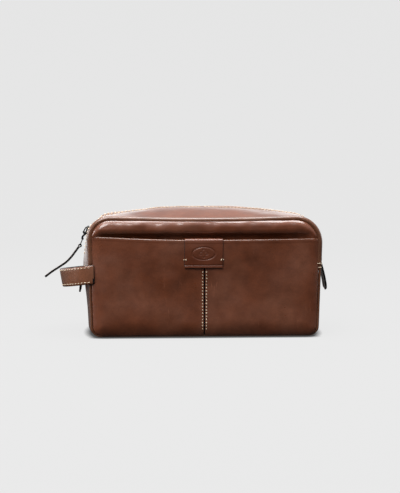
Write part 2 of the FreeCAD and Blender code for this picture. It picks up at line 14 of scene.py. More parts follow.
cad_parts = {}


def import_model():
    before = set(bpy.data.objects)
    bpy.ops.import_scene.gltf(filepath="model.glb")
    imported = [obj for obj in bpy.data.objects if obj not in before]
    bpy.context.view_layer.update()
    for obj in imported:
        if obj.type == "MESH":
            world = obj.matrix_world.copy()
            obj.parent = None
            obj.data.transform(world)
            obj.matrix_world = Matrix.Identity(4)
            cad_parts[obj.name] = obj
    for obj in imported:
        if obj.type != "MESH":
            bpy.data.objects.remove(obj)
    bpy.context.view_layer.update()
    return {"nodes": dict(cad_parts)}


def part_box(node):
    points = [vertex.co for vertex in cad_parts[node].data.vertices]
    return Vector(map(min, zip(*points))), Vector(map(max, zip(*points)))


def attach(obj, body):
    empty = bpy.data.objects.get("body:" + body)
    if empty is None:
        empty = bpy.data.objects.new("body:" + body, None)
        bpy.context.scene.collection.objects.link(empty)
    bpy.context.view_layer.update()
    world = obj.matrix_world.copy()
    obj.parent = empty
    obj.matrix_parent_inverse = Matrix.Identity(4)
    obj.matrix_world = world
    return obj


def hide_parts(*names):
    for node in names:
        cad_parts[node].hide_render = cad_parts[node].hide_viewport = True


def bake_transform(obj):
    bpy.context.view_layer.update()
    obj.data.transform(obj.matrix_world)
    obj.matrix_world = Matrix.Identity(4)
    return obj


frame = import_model()

MM = 0.001


def node_box(node):
    """Lowest and highest corners of a CAD node, in millimetres."""
    low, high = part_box(node)
    return np.array(low) / MM, np.array(high) / MM


# ---------------------------------------------------------------- sizes, from the frame
PIPE_LOW, PIPE_HIGH = node_box("front_piping")
PIPE_R = (PIPE_HIGH[1] - PIPE_LOW[1]) / 2
PIPE_Y = -(PIPE_LOW[1] + PIPE_HIGH[1]) / 2
SEAM_LOW = PIPE_LOW[2] + PIPE_R
SEAM_HIGH = PIPE_HIGH[2] - PIPE_R + 1.0
HALF_TOP = 127.6
HALF_BASE = 123.6
HALF_DEPTH = node_box("lower_gusset")[1][1]
LOW_R = 9.0
HIGH_R = 27.0
LOW_BULGE = 6.4
HIGH_BULGE = 3.0
CORNER_RISE = 1.1
TOP_SLOPE = math.radians(7.7)
SEAM_Z = node_box("lower_gusset")[1][2]
TAB_LOW, TAB_HIGH = node_box("pocket_tab")
TAB_X = (TAB_LOW[0] + TAB_HIGH[0]) / 2 - 0.2
TAB_HALF = (TAB_HIGH[0] - TAB_LOW[0]) / 2 - 0.8
SEAM_X = TAB_X + 1.1
MOUTH_Z = node_box("pocket_left")[1][2]
ZIP_EDGE = 4.6
LEATHER = 1.8
POCKET_THICK = 1.7
END_BELLY = 5.2  # how far an end bulges at its seam
CENTRE_SAG = 2.0  # droop of the top seams at the middle of the bag
SAG_REACH = 96.0  # from the middle to where that droop has faded
TOP_DIP = 1.2  # dip of the top beside the zip, near its corners
CORNER_TUCK = 3.2  # how far the zip gusset is drawn in at the top corners
ROLL_SWELL = 7.2  # height of the stuffed roll round a panel
ROLL_REACH = 10.0
POCKET_TUCK = 8.5  # how far the front panel lies back behind the pocket
POCKET_SWELL = 5.0
POCKET_REACH = 17.0
POCKET_GAPE = 3.9  # how far the pocket's mouth stands open
LAP = 4.5  # overlap of the gusset's parts at an end seam
END_SEAM_DROP = 7.0  # the seam under the carrying loop sits lower by this
STITCH = (2.7, 0.95, 0.75)
SMALL_STITCH = (1.8, 1.25, 1.0)
SLIDER_CENTRE = np.array([-103.732, 109.041])
PIVOT = np.array([-135.2, 113.5])
KNUCKLE = np.array([-136.6, 105.9])
EYE = np.array([-139.7, 98.1])
TOP_CENTRE = 5.0  # outline station of the middle of the top; 0 is the middle of the base


# ---------------------------------------------------------------- the bag's form
def smooth(x, low, high):
    """0 below low, 1 above high, and a smooth step between."""
    t = np.clip((x - low) / (high - low), 0, 1)
    return t * t * (3 - 2 * t)


def lumps(points, scale, seed):
    """Smooth noise between about -1 and 1 at each point; scale is the size of its lumps."""
    flat = np.asarray(points, float).reshape(-1, 3) / scale + seed
    values = np.array([noise.noise(Vector(p)) for p in flat])
    return values.reshape(np.asarray(points).shape[:-1])


def floor_lift(v):
    """Height of the base at depth share v: it rests flat and lifts to the seams."""
    return SEAM_LOW * smooth(np.abs(v), 0.66, 1.0)


def corner_radius(v, side):
    """Radius of the outline's top corner: tight at the front on the -X side, wide at the back."""
    front = -5.0 if side < 0 else 0.0
    return HIGH_R + np.where(np.asarray(v) < 0, front, 6.0) * np.asarray(v) ** 2


def half_outline(s, v, side=1):
    """Points and outward normals of half of the bag's outline, as if on the +X side.

    s runs from 0, the middle of the base, to 5, the middle of the top, one unit for each of
    base, low corner, side, high corner and top. v is the depth, from -1 at the front seam to 1.
    """
    s, v = np.broadcast_arrays(np.asarray(s, float), np.asarray(v, float))
    swell = 1 - v ** 2
    low_half = HALF_BASE + LOW_BULGE * swell
    high_half = HALF_TOP + HIGH_BULGE * swell
    low = floor_lift(v)
    high = SEAM_HIGH + CORNER_RISE * swell
    slope = TOP_SLOPE * (1 - np.abs(v) ** 1.7) + 1e-4
    lean = np.arctan2(high_half - low_half, high - low)
    low_z = low + LOW_R
    low_x = low_half + LOW_R * np.tan(lean) - LOW_R / np.cos(lean)
    high_r = corner_radius(v, side)
    to_corner = high_r * np.tan((math.pi / 2 - slope + lean) / 2)
    arch_x = high_half - to_corner * np.cos(slope)
    arch_z = high + to_corner * np.sin(slope)
    high_x = arch_x - high_r * np.sin(slope)
    high_z = arch_z - high_r * np.cos(slope)
    arch_r = arch_x / np.sin(slope)
    piece = np.clip(np.floor(s), 0, 4)
    t = s - piece
    turn_low = -math.pi / 2 + t * (math.pi / 2 - lean)
    turn_high = -lean + t * (math.pi / 2 - slope + lean)
    turn_top = slope * (1 - t)
    side_low = (low_x + LOW_R * np.cos(lean), low_z - LOW_R * np.sin(lean))
    side_high = (high_x + high_r * np.cos(lean), high_z - high_r * np.sin(lean))
    drop = (high - side_high[1]) / high_r
    evened = 1 + drop * (high_r - HIGH_R) / (side_high[1] - side_low[1])
    up = t * (evened + (1 - evened) * smooth(t, 0.75, 1.0))
    x = np.select(
        [piece == 0, piece == 1, piece == 2, piece == 3],
        [low_x * t, low_x + LOW_R * np.cos(turn_low), side_low[0] + (side_high[0] - side_low[0]) * up,
         high_x + high_r * np.cos(turn_high)],
        arch_r * np.sin(turn_top))
    z = np.select(
        [piece == 0, piece == 1, piece == 2, piece == 3],
        [low, low_z + LOW_R * np.sin(turn_low), side_low[1] + (side_high[1] - side_low[1]) * up,
         high_z + high_r * np.sin(turn_high)],
        arch_z + arch_r * (np.cos(turn_top) - np.cos(slope)))
    turn = np.select(
        [piece == 0, piece == 1, piece == 2, piece == 3],
        [np.full_like(t, -math.pi / 2), turn_low, -lean, turn_high],
        math.pi / 2 - turn_top)
    return x, z, np.cos(turn), np.sin(turn)


def form(side, s, v, inset=0.0, loose=1.0):
    """Points of the gusset's surface on one side, with its swelling, sag and slight unevenness."""
    x, z, nx, nz = half_outline(s, v, side)
    swell = 1 - v ** 2
    reach = np.where(z < SEAM_Z, 42.0, 22.0)
    belly = END_BELLY * swell * np.exp(-((z - SEAM_Z) / reach) ** 2) * smooth(nx, 0.3, 0.9)
    on_top = smooth(nz, 0.6, 1.0)
    arch = (1 - np.clip(x / SAG_REACH, 0, 1) ** 2) * on_top
    sag = -CENTRE_SAG * arch * np.abs(v) ** 3
    up = np.arcsin(np.clip(nz, -1, 1))
    corner_tuck = CORNER_TUCK * np.exp(-((up - 0.87) / 0.4) ** 2)
    sag = sag - swell * (TOP_DIP * smooth(x, 45, 92) * smooth(nz, 0.9, 0.99) + corner_tuck)
    points = np.stack([x, HALF_DEPTH * v + 0 * x, z], -1)
    uneven = 0.9 * lumps(points * [side, 1, 1], 34, 3.1) + 0.35 * lumps(points * [side, 1, 1], 13, 8.4)
    off = belly + sag + loose * uneven * swell * smooth(z, 6, 30) - inset
    points = points + np.stack([nx * off, 0 * off, nz * off], -1)
    return points * [side, 1, 1]


def station_at_height(z):
    """The outline station on the side at a height, at the seams."""
    stations = np.linspace(2, 3, 200)
    return float(np.interp(z, half_outline(stations, 1.0)[1], stations))


def spread(low, high, count, ends=0.35):
    """Values from low to high, a little closer together near both ends."""
    t = np.linspace(0, 1, count)
    return low + (high - low) * ((1 - ends) * t + ends * (1 - np.cos(math.pi * t)) / 2)


# ---------------------------------------------------------------- meshes
def make_object(name, verts, faces, materials, indices=None):
    """A smooth-shaded mesh object from points in millimetres."""
    mesh = bpy.data.meshes.new(name)
    mesh.from_pydata((np.asarray(verts) * MM).tolist(), [], faces)
    for material in materials:
        mesh.materials.append(material)
    if indices is not None:
        mesh.polygons.foreach_set("material_index", indices)
    mesh.polygons.foreach_set("use_smooth", [True] * len(mesh.polygons))
    mesh.validate()
    obj = bpy.data.objects.new(name, mesh)
    bpy.context.scene.collection.objects.link(obj)
    return obj


def grid_normals(grid):
    """Unit normals of a grid of points."""
    along = np.gradient(grid, axis=0)
    across = np.gradient(grid, axis=1)
    normals = np.cross(along, across)
    return normals / np.maximum(np.linalg.norm(normals, axis=-1, keepdims=True), 1e-9)


def sheet(name, grid, thickness, materials, outward, edge_bulge=0.35):
    """A closed sheet: the grid is its outer face, with a rounded edge all round.

    materials are the outer face, the inner face and the cut edge. outward is a rough direction
    that the outer face looks along, one for the whole grid or one at each point.
    """
    normals = grid_normals(grid)
    if np.mean(np.sum(normals * np.asarray(outward, float), -1)) < 0:
        normals = -normals
    rows, cols = grid.shape[:2]
    thick = np.broadcast_to(np.asarray(thickness, float), (rows, cols))[..., None]
    inner = grid - normals * thick
    count = rows * cols
    index = np.arange(count).reshape(rows, cols)
    ring = np.concatenate([index[0, :], index[1:, -1], index[-1, -2::-1], index[-2:0:-1, 0]])
    inside = np.concatenate([
        index[1, :], index[1:, -2], index[-2, -2::-1], index[-2:0:-1, 1]])
    outer_flat = grid.reshape(-1, 3)
    inner_flat = inner.reshape(-1, 3)
    away = outer_flat[ring] - outer_flat[inside]
    away /= np.maximum(np.linalg.norm(away, axis=1, keepdims=True), 1e-9)
    middle = (outer_flat[ring] + inner_flat[ring]) / 2
    middle = middle + away * thick.reshape(-1, 1)[ring] * edge_bulge
    verts = np.concatenate([outer_flat, inner_flat, middle])
    a, b, c, d = index[:-1, :-1], index[1:, :-1], index[1:, 1:], index[:-1, 1:]
    quads = np.stack([a, b, c, d], -1).reshape(-1, 4)
    faces = quads.tolist() + (quads[:, ::-1] + count).tolist()
    kinds = [0] * len(quads) + [1] * len(quads)
    length = len(ring)
    for i in range(length):
        j = (i + 1) % length
        faces.append([int(ring[i]), int(ring[j]), 2 * count + j, 2 * count + i])
        faces.append([2 * count + i, 2 * count + j, int(ring[j]) + count, int(ring[i]) + count])
        kinds += [2, 2]
    obj = make_object(name, verts, faces, materials, kinds)
    face_outwards(obj)
    return obj


def place(piece, slot, body, *nodes):
    """The piece shows instead of the CAD nodes and rides on a body; slot is not used."""
    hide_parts(*nodes)
    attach(piece, body)


def repaint(piece, index, chosen):
    """Give the faces that chosen picks another of the piece's materials."""
    for face in piece.data.polygons:
        if chosen(face):
            face.material_index = index


def face_outwards(obj):
    """Turn a closed mesh's faces to look out."""
    bm = bmesh.new()
    bm.from_mesh(obj.data)
    bmesh.ops.recalc_face_normals(bm, faces=bm.faces)
    bm.to_mesh(obj.data)
    bm.free()


def tube(name, centres, across, up, radii, material, sides=14, closed=True):
    """A round tube along centres; across and up are unit vectors square to it at each point."""
    turns = np.linspace(0, 2 * math.pi, sides, endpoint=False)
    rings = (centres[:, None, :]
             + radii[:, None, None] * (np.cos(turns)[None, :, None] * across[:, None, :]
                                       + np.sin(turns)[None, :, None] * up[:, None, :]))
    count = len(centres)
    faces = []
    for i in range(count if closed else count - 1):
        j = (i + 1) % count
        for k in range(sides):
            m = (k + 1) % sides
            faces.append([i * sides + k, i * sides + m, j * sides + m, j * sides + k])
    if not closed:
        faces += [list(range(sides)), [(count - 1) * sides + k for k in range(sides)]]
    obj = make_object(name, rings.reshape(-1, 3), faces, [material])
    face_outwards(obj)
    return obj


def seeds(name, places, size, material, slant=0.0, sides=8):
    """Rounded seed shapes, such as stitches or zip turns, in one mesh.

    Each place is (point, direction, normal); size is length, width and height.
    """
    stations = np.array([-1.0, -0.82, -0.4, 0.4, 0.82, 1.0])
    fullness = np.array([0.3, 0.78, 1.0, 1.0, 0.78, 0.3])
    turns = np.linspace(0, 2 * math.pi, sides, endpoint=False)
    verts = []
    faces = []
    for point, direction, normal in places:
        normal = normal / np.linalg.norm(normal)
        direction = direction - normal * (direction @ normal)
        direction = direction / np.linalg.norm(direction)
        side = np.cross(normal, direction)
        direction = math.cos(slant) * direction + math.sin(slant) * side
        side = np.cross(normal, direction)
        base = len(verts)
        for station, full in zip(stations, fullness):
            dip = -0.35 * size[2] * station ** 4
            centre = point + direction * station * size[0] / 2 + normal * dip
            for turn in turns:
                verts.append(centre + full * (side * math.cos(turn) * size[1] / 2
                                              + normal * math.sin(turn) * size[2] / 2))
        for i in range(len(stations) - 1):
            for k in range(sides):
                m = (k + 1) % sides
                a = base + i * sides
                faces.append([a + k, a + m, a + sides + m, a + sides + k])
        last = base + (len(stations) - 1) * sides
        faces.append([base + k for k in range(sides)])
        faces.append([last + k for k in reversed(range(sides))])
    obj = make_object(name, verts, faces, [material])
    face_outwards(obj)
    return obj


def distances(points):
    """Distance along a polyline to each of its points."""
    return np.concatenate([[0], np.cumsum(np.linalg.norm(np.diff(points, axis=0), axis=1))])


def smooth_line(points, count):
    """A smooth line through points of a plane, in evenly spaced steps."""
    length = distances(points)
    at = np.linspace(0, length[-1], count)
    return np.stack([catmull(length, points[:, k], at) for k in range(2)], -1)


def along_curve(points, pitch, lead=0.5):
    """Evenly spaced (point, direction) pairs along a polyline."""
    length = distances(points)
    count = int((length[-1] - 2 * lead * pitch) / pitch) + 1
    first = (length[-1] - (count - 1) * pitch) / 2
    at = first + pitch * np.arange(count)
    where = np.stack([np.interp(at, length, points[:, k]) for k in range(3)], -1)
    ahead = np.stack([np.interp(at + 0.2, length, points[:, k]) for k in range(3)], -1)
    behind = np.stack([np.interp(at - 0.2, length, points[:, k]) for k in range(3)], -1)
    return where, ahead - behind


# ---------------------------------------------------------------- materials
def new_material(name):
    """A new node material, with its tree and its shader."""
    material = bpy.data.materials.new(name)
    material.use_nodes = True
    tree = material.node_tree
    return material, tree, tree.nodes["Principled BSDF"]


def new_surface(name):
    """A new material with its tree, its shader and its object coordinates."""
    material, tree, shader = new_material(name)
    return material, tree, shader, tree.nodes.new("ShaderNodeTexCoord").outputs["Object"]


def node(tree, kind, **values):
    """A new node with its inputs and properties set by name."""
    made = tree.nodes.new(kind)
    for key, value in values.items():
        if key in made.inputs:
            made.inputs[key].default_value = value
        else:
            setattr(made, key, value)
    return made


def noise_node(tree, coords, scale, detail=4.0, rough=0.55, distortion=0.0):
    """Noise over the given coordinates."""
    made = node(tree, "ShaderNodeTexNoise", Scale=scale, Detail=detail, Roughness=rough,
                Distortion=distortion)
    tree.links.new(coords, made.inputs["Vector"])
    return made


def ramp(tree, source, stops):
    """A colour ramp over source; stops are (position, colour)."""
    made = tree.nodes.new("ShaderNodeValToRGB")
    elements = made.color_ramp.elements
    while len(elements) < len(stops):
        elements.new(0.5)
    for element, (position, colour) in zip(elements, stops):
        element.position = position
        element.color = (*colour, 1.0)
    tree.links.new(source, made.inputs["Fac"])
    return made.outputs["Color"]


def grey(tree, source, low, high, from_low=0.3, from_high=0.7):
    """source mapped from one range to another."""
    made = node(tree, "ShaderNodeMapRange", **{"From Min": from_low, "From Max": from_high,
                                               "To Min": low, "To Max": high})
    tree.links.new(source, made.inputs["Value"])
    return made.outputs["Result"]


def mix(tree, factor, first, second, blend="MIX"):
    """Two colours mixed by a factor, each a socket or a constant."""
    made = tree.nodes.new("ShaderNodeMix")
    made.data_type = "RGBA"
    made.blend_type = blend
    for socket, value in ((made.inputs[0], factor), (made.inputs[6], first), (made.inputs[7], second)):
        if hasattr(value, "is_output"):
            tree.links.new(value, socket)
        else:
            socket.default_value = value
    return made.outputs[2]


def bump(tree, height, strength, distance, below=None):
    """A bump from height, on top of another bump where one is given."""
    made = node(tree, "ShaderNodeBump", Strength=strength, Distance=distance)
    tree.links.new(height, made.inputs["Height"])
    if below is not None:
        tree.links.new(below, made.inputs["Normal"])
    return made.outputs["Normal"]


def leather(name, dark, mid, light, gloss=0.34, scratch=0.35, coat=0.8):
    """Pull-up leather: waxy tone patches, fine grain, hair scratches and an uneven gloss."""
    material, tree, shader, coords = new_surface(name)
    patches = noise_node(tree, coords, 17, 3.5, 0.5, 0.6).outputs["Fac"]
    cloud = noise_node(tree, coords, 62, 4, 0.6).outputs["Fac"]
    tone = ramp(tree, patches, [(0.30, dark), (0.46, mid), (0.66, light)])
    fine = ramp(tree, cloud, [(0.3, (0.80, 0.78, 0.76)), (0.7, (1.14, 1.15, 1.17))])
    colour = mix(tree, 1.0, tone, fine, "MULTIPLY")
    stretch = node(tree, "ShaderNodeMapping", Scale=(210, 210, 34), Rotation=(0.4, 0.5, 0.3))
    tree.links.new(coords, stretch.inputs["Vector"])
    hair = noise_node(tree, stretch.outputs["Vector"], 1.0, 2, 0.5, 0.4).outputs["Fac"]
    line = ramp(tree, hair, [(0.655, (0, 0, 0)), (0.69, (1, 1, 1)), (0.72, (0, 0, 0))])
    where = grey(tree, noise_node(tree, coords, 26, 2).outputs["Fac"], 0.0, scratch, 0.52, 0.72)
    marks = node(tree, "ShaderNodeMath", operation="MULTIPLY")
    tree.links.new(line, marks.inputs[0])
    tree.links.new(where, marks.inputs[1])
    pale = tuple(min(1.0, c * 2.3 + 0.02) for c in light) + (1.0,)
    colour = mix(tree, marks.outputs[0], colour, pale)
    tree.links.new(colour, shader.inputs["Base Color"])
    rough = grey(tree, noise_node(tree, coords, 38, 4, 0.6).outputs["Fac"], gloss - 0.07, gloss + 0.1)
    tree.links.new(rough, shader.inputs["Roughness"])
    shader.inputs["Specular IOR Level"].default_value = 0.5
    shader.inputs["Coat Weight"].default_value = coat
    shader.inputs["Coat Roughness"].default_value = 0.14
    cells = node(tree, "ShaderNodeTexVoronoi", Scale=820.0, feature="DISTANCE_TO_EDGE")
    bent = noise_node(tree, coords, 300, 3)
    shift = mix(tree, 0.0035, coords, bent.outputs["Color"], "LINEAR_LIGHT")
    tree.links.new(shift, cells.inputs["Vector"])
    grain = grey(tree, cells.outputs["Distance"], 0, 1, 0.0, 0.22)
    soft = noise_node(tree, coords, 150, 4, 0.6).outputs["Fac"]
    normal = bump(tree, grain, 0.10, 0.0002)
    normal = bump(tree, soft, 0.22, 0.0012, normal)
    tree.links.new(normal, shader.inputs["Normal"])
    return material


def speckled(name, grain, stops, roughness, relief, settings=()):
    """A noisy surface. roughness is one value or a range, and settings are the shader's own."""
    material, tree, shader, coords = new_surface(name)
    spots = noise_node(tree, coords, *grain).outputs["Fac"]
    tree.links.new(ramp(tree, spots, stops), shader.inputs["Base Color"])
    if isinstance(roughness, tuple):
        tree.links.new(grey(tree, spots, *roughness), shader.inputs["Roughness"])
    else:
        shader.inputs["Roughness"].default_value = roughness
    for setting, value in settings:
        shader.inputs[setting].default_value = value
    tree.links.new(bump(tree, spots, *relief), shader.inputs["Normal"])
    return material


def edge_paint(name):
    """Black paint on cut leather edges, and the zip's plastic turns."""
    stops = [(0.35, (0.003, 0.0025, 0.0025)), (0.75, (0.009, 0.007, 0.006))]
    return speckled(name, (260, 3), stops, (0.42, 0.6), (0.25, 0.0003), [("Specular IOR Level", 0.3)])


def thread(name):
    """Waxed cream thread, twisted."""
    material, tree, shader, coords = new_surface(name)
    twist = node(tree, "ShaderNodeTexWave", Scale=560.0, Distortion=1.2, bands_direction="DIAGONAL")
    tree.links.new(coords, twist.inputs["Vector"])
    wear = noise_node(tree, coords, 90, 3).outputs["Fac"]
    colour = ramp(tree, wear, [(0.3, (0.50, 0.36, 0.24)), (0.7, (0.80, 0.66, 0.50))])
    tree.links.new(colour, shader.inputs["Base Color"])
    shader.inputs["Roughness"].default_value = 0.6
    tree.links.new(bump(tree, twist.outputs["Fac"], 0.5, 0.00015), shader.inputs["Normal"])
    return material


def woven(name, first, second, pitch):
    """Plain woven cloth with a pitch in metres."""
    material, tree, shader, coords = new_surface(name)
    scale = math.pi / (10 * pitch)
    heights = []
    for direction in ("X", "Z"):
        wave = node(tree, "ShaderNodeTexWave", Scale=scale, Distortion=0.6, bands_direction=direction)
        tree.links.new(coords, wave.inputs["Vector"])
        heights.append(wave.outputs["Fac"])
    both = node(tree, "ShaderNodeMath", operation="MAXIMUM")
    tree.links.new(heights[0], both.inputs[0])
    tree.links.new(heights[1], both.inputs[1])
    colour = ramp(tree, both.outputs[0], [(0.2, first), (0.9, second)])
    cloud = noise_node(tree, coords, 30, 4).outputs["Fac"]
    stain = ramp(tree, cloud, [(0.3, (0.85, 0.85, 0.85)), (0.7, (1.1, 1.1, 1.1))])
    tree.links.new(mix(tree, 1.0, colour, stain, "MULTIPLY"), shader.inputs["Base Color"])
    shader.inputs["Roughness"].default_value = 0.8
    shader.inputs["Sheen Weight"].default_value = 0.25
    tree.links.new(bump(tree, both.outputs[0], 0.4, 0.0002), shader.inputs["Normal"])
    return material


BAG_LEATHER = leather(
    "bag_leather_look", (0.105, 0.027, 0.009), (0.145, 0.040, 0.016), (0.168, 0.056, 0.028))
PIPING_LEATHER = leather(
    "piping_leather_look", (0.095, 0.030, 0.012), (0.130, 0.046, 0.020), (0.16, 0.064, 0.034), 0.34)
TAB_LEATHER = leather(
    "tab_leather_look", (0.095, 0.020, 0.006), (0.115, 0.026, 0.008), (0.135, 0.036, 0.014),
    0.38, 0.15, 0.3)
STRAP_LEATHER = leather(
    "strap_leather_look", (0.150, 0.048, 0.019), (0.190, 0.066, 0.029), (0.220, 0.085, 0.042), 0.4, 0.15)
# the rough inner side of leather
FLESH = speckled("flesh_side_look", (420, 5, 0.7), [(0.3, (0.16, 0.09, 0.055)), (0.7, (0.27, 0.17, 0.11))],
                 0.85, (0.4, 0.0004), [("Sheen Weight", 0.2)])
EDGE = edge_paint("edge_paint_look")
THREAD = thread("thread_look")
LINING = woven("lining_look", (0.075, 0.055, 0.040), (0.15, 0.115, 0.085), 0.0009)
TAPE = woven("tape_look", (0.018, 0.011, 0.008), (0.045, 0.029, 0.021), 0.0006)
# black lacquer on zinc, rubbed a little brighter in places
METAL = speckled(
    "black_metal_look", (340, 4), [(0.35, (0.006, 0.006, 0.007)), (0.78, (0.03, 0.029, 0.028))],
    (0.28, 0.46), (0.15, 0.0002), [("Metallic", 0.6)])
BOARD = speckled("board_look", (240, 5), [(0.3, (0.16, 0.13, 0.10)), (0.7, (0.24, 0.20, 0.16))],
                 0.8, (0.3, 0.0003))
COIL = edge_paint("coil_look")


# ---------------------------------------------------------------- front and back panels
def edge_distance(x, z, depth=-1):
    """Distance in from the bag's outline at the front seam, or the back one."""
    lean = math.atan2(HALF_TOP - HALF_BASE, SEAM_HIGH - SEAM_LOW)
    left = x < 0
    x = np.abs(x)
    side = (HALF_BASE + (z - SEAM_LOW) * math.tan(lean) - x) * math.cos(lean)
    distance = np.minimum(np.minimum(side, SEAM_HIGH - z), z - SEAM_LOW)
    high_r = np.where(left, corner_radius(depth, -1), corner_radius(depth, 1))
    for radius, centre_z, above in ((high_r, SEAM_HIGH - high_r, 1), (LOW_R, SEAM_LOW + LOW_R, -1)):
        centre_x = HALF_BASE + (centre_z - SEAM_LOW) * math.tan(lean) - radius / math.cos(lean)
        in_corner = (x > centre_x) & (above * (z - centre_z) > 0)
        rounded = radius - np.hypot(x - centre_x, z - centre_z)
        distance = np.where(in_corner, rounded, distance)
    return np.maximum(distance, 0)


def roll(distance, reach):
    """How far a stuffed edge has risen, from 0 at the seam to 1 at its reach."""
    return 1 - (1 - np.clip(distance / reach, 0, 1)) ** 2.5


def seam_sag(x, z):
    """The droop of the top seam between its corners, fading down the panel."""
    return -CENTRE_SAG * (1 - np.clip(np.abs(x) / SAG_REACH, 0, 1) ** 2) * smooth(z, 84, SEAM_HIGH)


def panel_depth(x, z, depth=-1):
    """How far a panel's face stands out, at a point of it."""
    distance = edge_distance(x, z, depth)
    swell = ROLL_SWELL * roll(distance, ROLL_REACH)
    behind_pocket = POCKET_TUCK if depth < 0 else 0.0
    tucked = behind_pocket * smooth(z, MOUTH_Z + 8.5, MOUTH_Z + 1.0) * roll(distance - 4, 22)
    points = np.stack([x, 0 * x, z], -1)
    ripple = 0.9 * lumps(points * [1, 1, 1.6], 19, 5.7) + 0.6 * lumps(points, 8, 1.3)
    face = PIPE_Y - 0.8 + swell - tucked + ripple * roll(distance, 8)
    if depth > 0:
        return face
    behind = pocket_depth(x, z) - POCKET_THICK - 0.8 + 20 * smooth(z, MOUTH_Z - 1, MOUTH_Z + 6)
    return np.minimum(face, behind)


def panel_rows(inset, depth=-1, count_side=30, count_corner=12):
    """Left and right edges and heights of a panel's rows, from its bottom edge to its top."""
    stations = np.concatenate([
        np.linspace(1, 2, 9)[:-1], np.linspace(2, 3, count_side)[:-1], np.linspace(3, 4, count_corner)])
    x, z, nx, nz = half_outline(stations, depth)
    height = z - nz * inset * (1 - 0.85 * smooth(-nz, 0.3, 0.95))
    left_x, left_z, left_nx, left_nz = half_outline(stations, depth, -1)
    left = np.interp(height, left_z - left_nz * inset, left_x - left_nx * inset)
    return -left, x - nx * inset, height


def panel(name, side, node_name):
    """The leather of the front or back."""
    left, right, height = panel_rows(1.7, side)
    t = spread(0, 1, 90, 0.25)
    x = left[:, None] + t[None, :] * (right - left)[:, None]
    z = height[:, None] + 0 * x
    z = z + seam_sag(x, z)
    y = side * panel_depth(x, z, side)
    grid = np.stack([x, y, z], -1)
    piece = sheet(name, grid, 1.9, [BAG_LEATHER, FLESH, BAG_LEATHER], (0, side, 0))
    place(piece, "bag_leather", "bag", node_name)
    return piece


def panel_lining(name, side, node_name):
    """Lining just inside a panel's leather."""
    left, right, height = panel_rows(3.6, side, 20, 9)
    t = spread(0, 1, 50, 0.25)
    x = left[:, None] + t[None, :] * (right - left)[:, None]
    z = height[:, None] + 0 * x
    z = z + seam_sag(x, z)
    y = side * (panel_depth(x, z, side) - 3.2)
    piece = sheet(name, np.stack([x, y, z], -1), 0.6, [LINING, LINING, LINING], (0, side, 0))
    place(piece, "lining_cloth", "bag", node_name)


THIN_PIPE = 1.35
FULL_PIPE = PIPE_R + 0.55


def piping_radius(z):
    """The rolled edge is full above the end seams, thin below them and nipped by their stitches."""
    radius = THIN_PIPE + (FULL_PIPE - THIN_PIPE) * smooth(z, SEAM_Z - 6, SEAM_Z + 4)
    return radius - 0.25 * np.exp(-((z - SEAM_Z) / 2.6) ** 2)


def piping(name, side, node_name):
    """The rolled edge: full above the end seams, and thinner below them."""
    stations = np.concatenate([
        np.linspace(0, 1, 60)[:-1], np.linspace(1, 2, 10)[:-1], np.linspace(2, 3, 60)[:-1],
        np.linspace(3, 4, 26)[:-1], np.linspace(4, 5, 60)])
    right = half_outline(stations, side)
    left = half_outline(stations, side, -1)
    mirror = (-1, 1, -1, 1)
    x, z, nx, nz = [np.concatenate([r, sign * l[-2:0:-1]]) for r, l, sign in zip(right, left, mirror)]
    z = z + seam_sag(x, z)
    radii = piping_radius(z)
    full = (radii - THIN_PIPE) / (FULL_PIPE - THIN_PIPE)
    out = (PIPE_R - radii) * 0.75
    z_shift = np.where(nz < -0.5, 0.25, 0.0)
    centres = np.stack([x + nx * out, side * (PIPE_Y + 0.3 * full) + 0 * x, z + nz * out + z_shift], -1)
    centres[:, 1] -= side * 1.5 * smooth(-nz, 0.2, 0.9)
    wobble = 1 + 0.05 * lumps(centres, 17, 6.6)
    across = np.stack([nx, 0 * nx, nz], -1)
    up = np.tile([0.0, side, 0.0], (len(x), 1))
    piece = tube(name, centres, across, up, radii * wobble, PIPING_LEATHER)
    place(piece, "piping_leather", "bag", node_name)


# ---------------------------------------------------------------- gusset
def seam_height(side):
    """Height of an end seam: the one under the carrying loop sits a little lower."""
    return SEAM_Z - (END_SEAM_DROP if side < 0 else 0.0)


def ring_stations(low, high, step=2.4):
    """Outline stations from low to high, about evenly spaced along the outline."""
    dense = np.linspace(low, high, 600)
    x, z, _, _ = half_outline(dense, 0.0)
    length = np.concatenate([[0], np.cumsum(np.hypot(np.diff(x), np.diff(z)))])
    count = int(length[-1] / step) + 1
    return np.interp(np.linspace(0, length[-1], count), length, dense)


def outward_of(grid):
    """Directions away from the middle of the bag."""
    return grid - np.array([0, 0, 66.0])


def both_sides(make_half):
    """A full-length grid over the base, from the -X end to the +X end."""
    return np.concatenate([make_half(-1)[::-1], make_half(1)[1:]])


def lower_gusset():
    """Base and lower ends in one strip of leather, and their lining."""
    v = spread(-1, 1, 44)

    def half(side):
        stations = ring_stations(0, station_at_height(seam_height(side)))
        z = half_outline(stations, 0.0)[1]
        tuck = 2.1 * smooth(z, seam_height(side) - LAP - 3, seam_height(side) - LAP + 1)
        return form(side, stations[:, None], v[None, :], tuck[:, None])

    grid = both_sides(half)
    looks = [BAG_LEATHER, FLESH, BAG_LEATHER]
    piece = sheet("lower_gusset_leather", grid, LEATHER, looks, outward_of(grid))
    place(piece, "bag_leather", "bag", "lower_gusset")
    stations = ring_stations(0, station_at_height(seam_height(-1)))
    lining_grid = both_sides(lambda side: form(side, stations[:, None], v[None, :] * 0.97, 4.0))
    lining = sheet("lower_lining_cloth", lining_grid, 0.6, [LINING] * 3, outward_of(lining_grid))
    place(lining, "lining_cloth", "bag", "lower_lining")


def hang_on_flap(piece, slot, depth, side, *nodes):
    """Hide the CAD nodes that a zip-gusset piece stands in for, and bake the piece's transform into its
    mesh.
    """
    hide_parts(*nodes)
    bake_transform(piece)


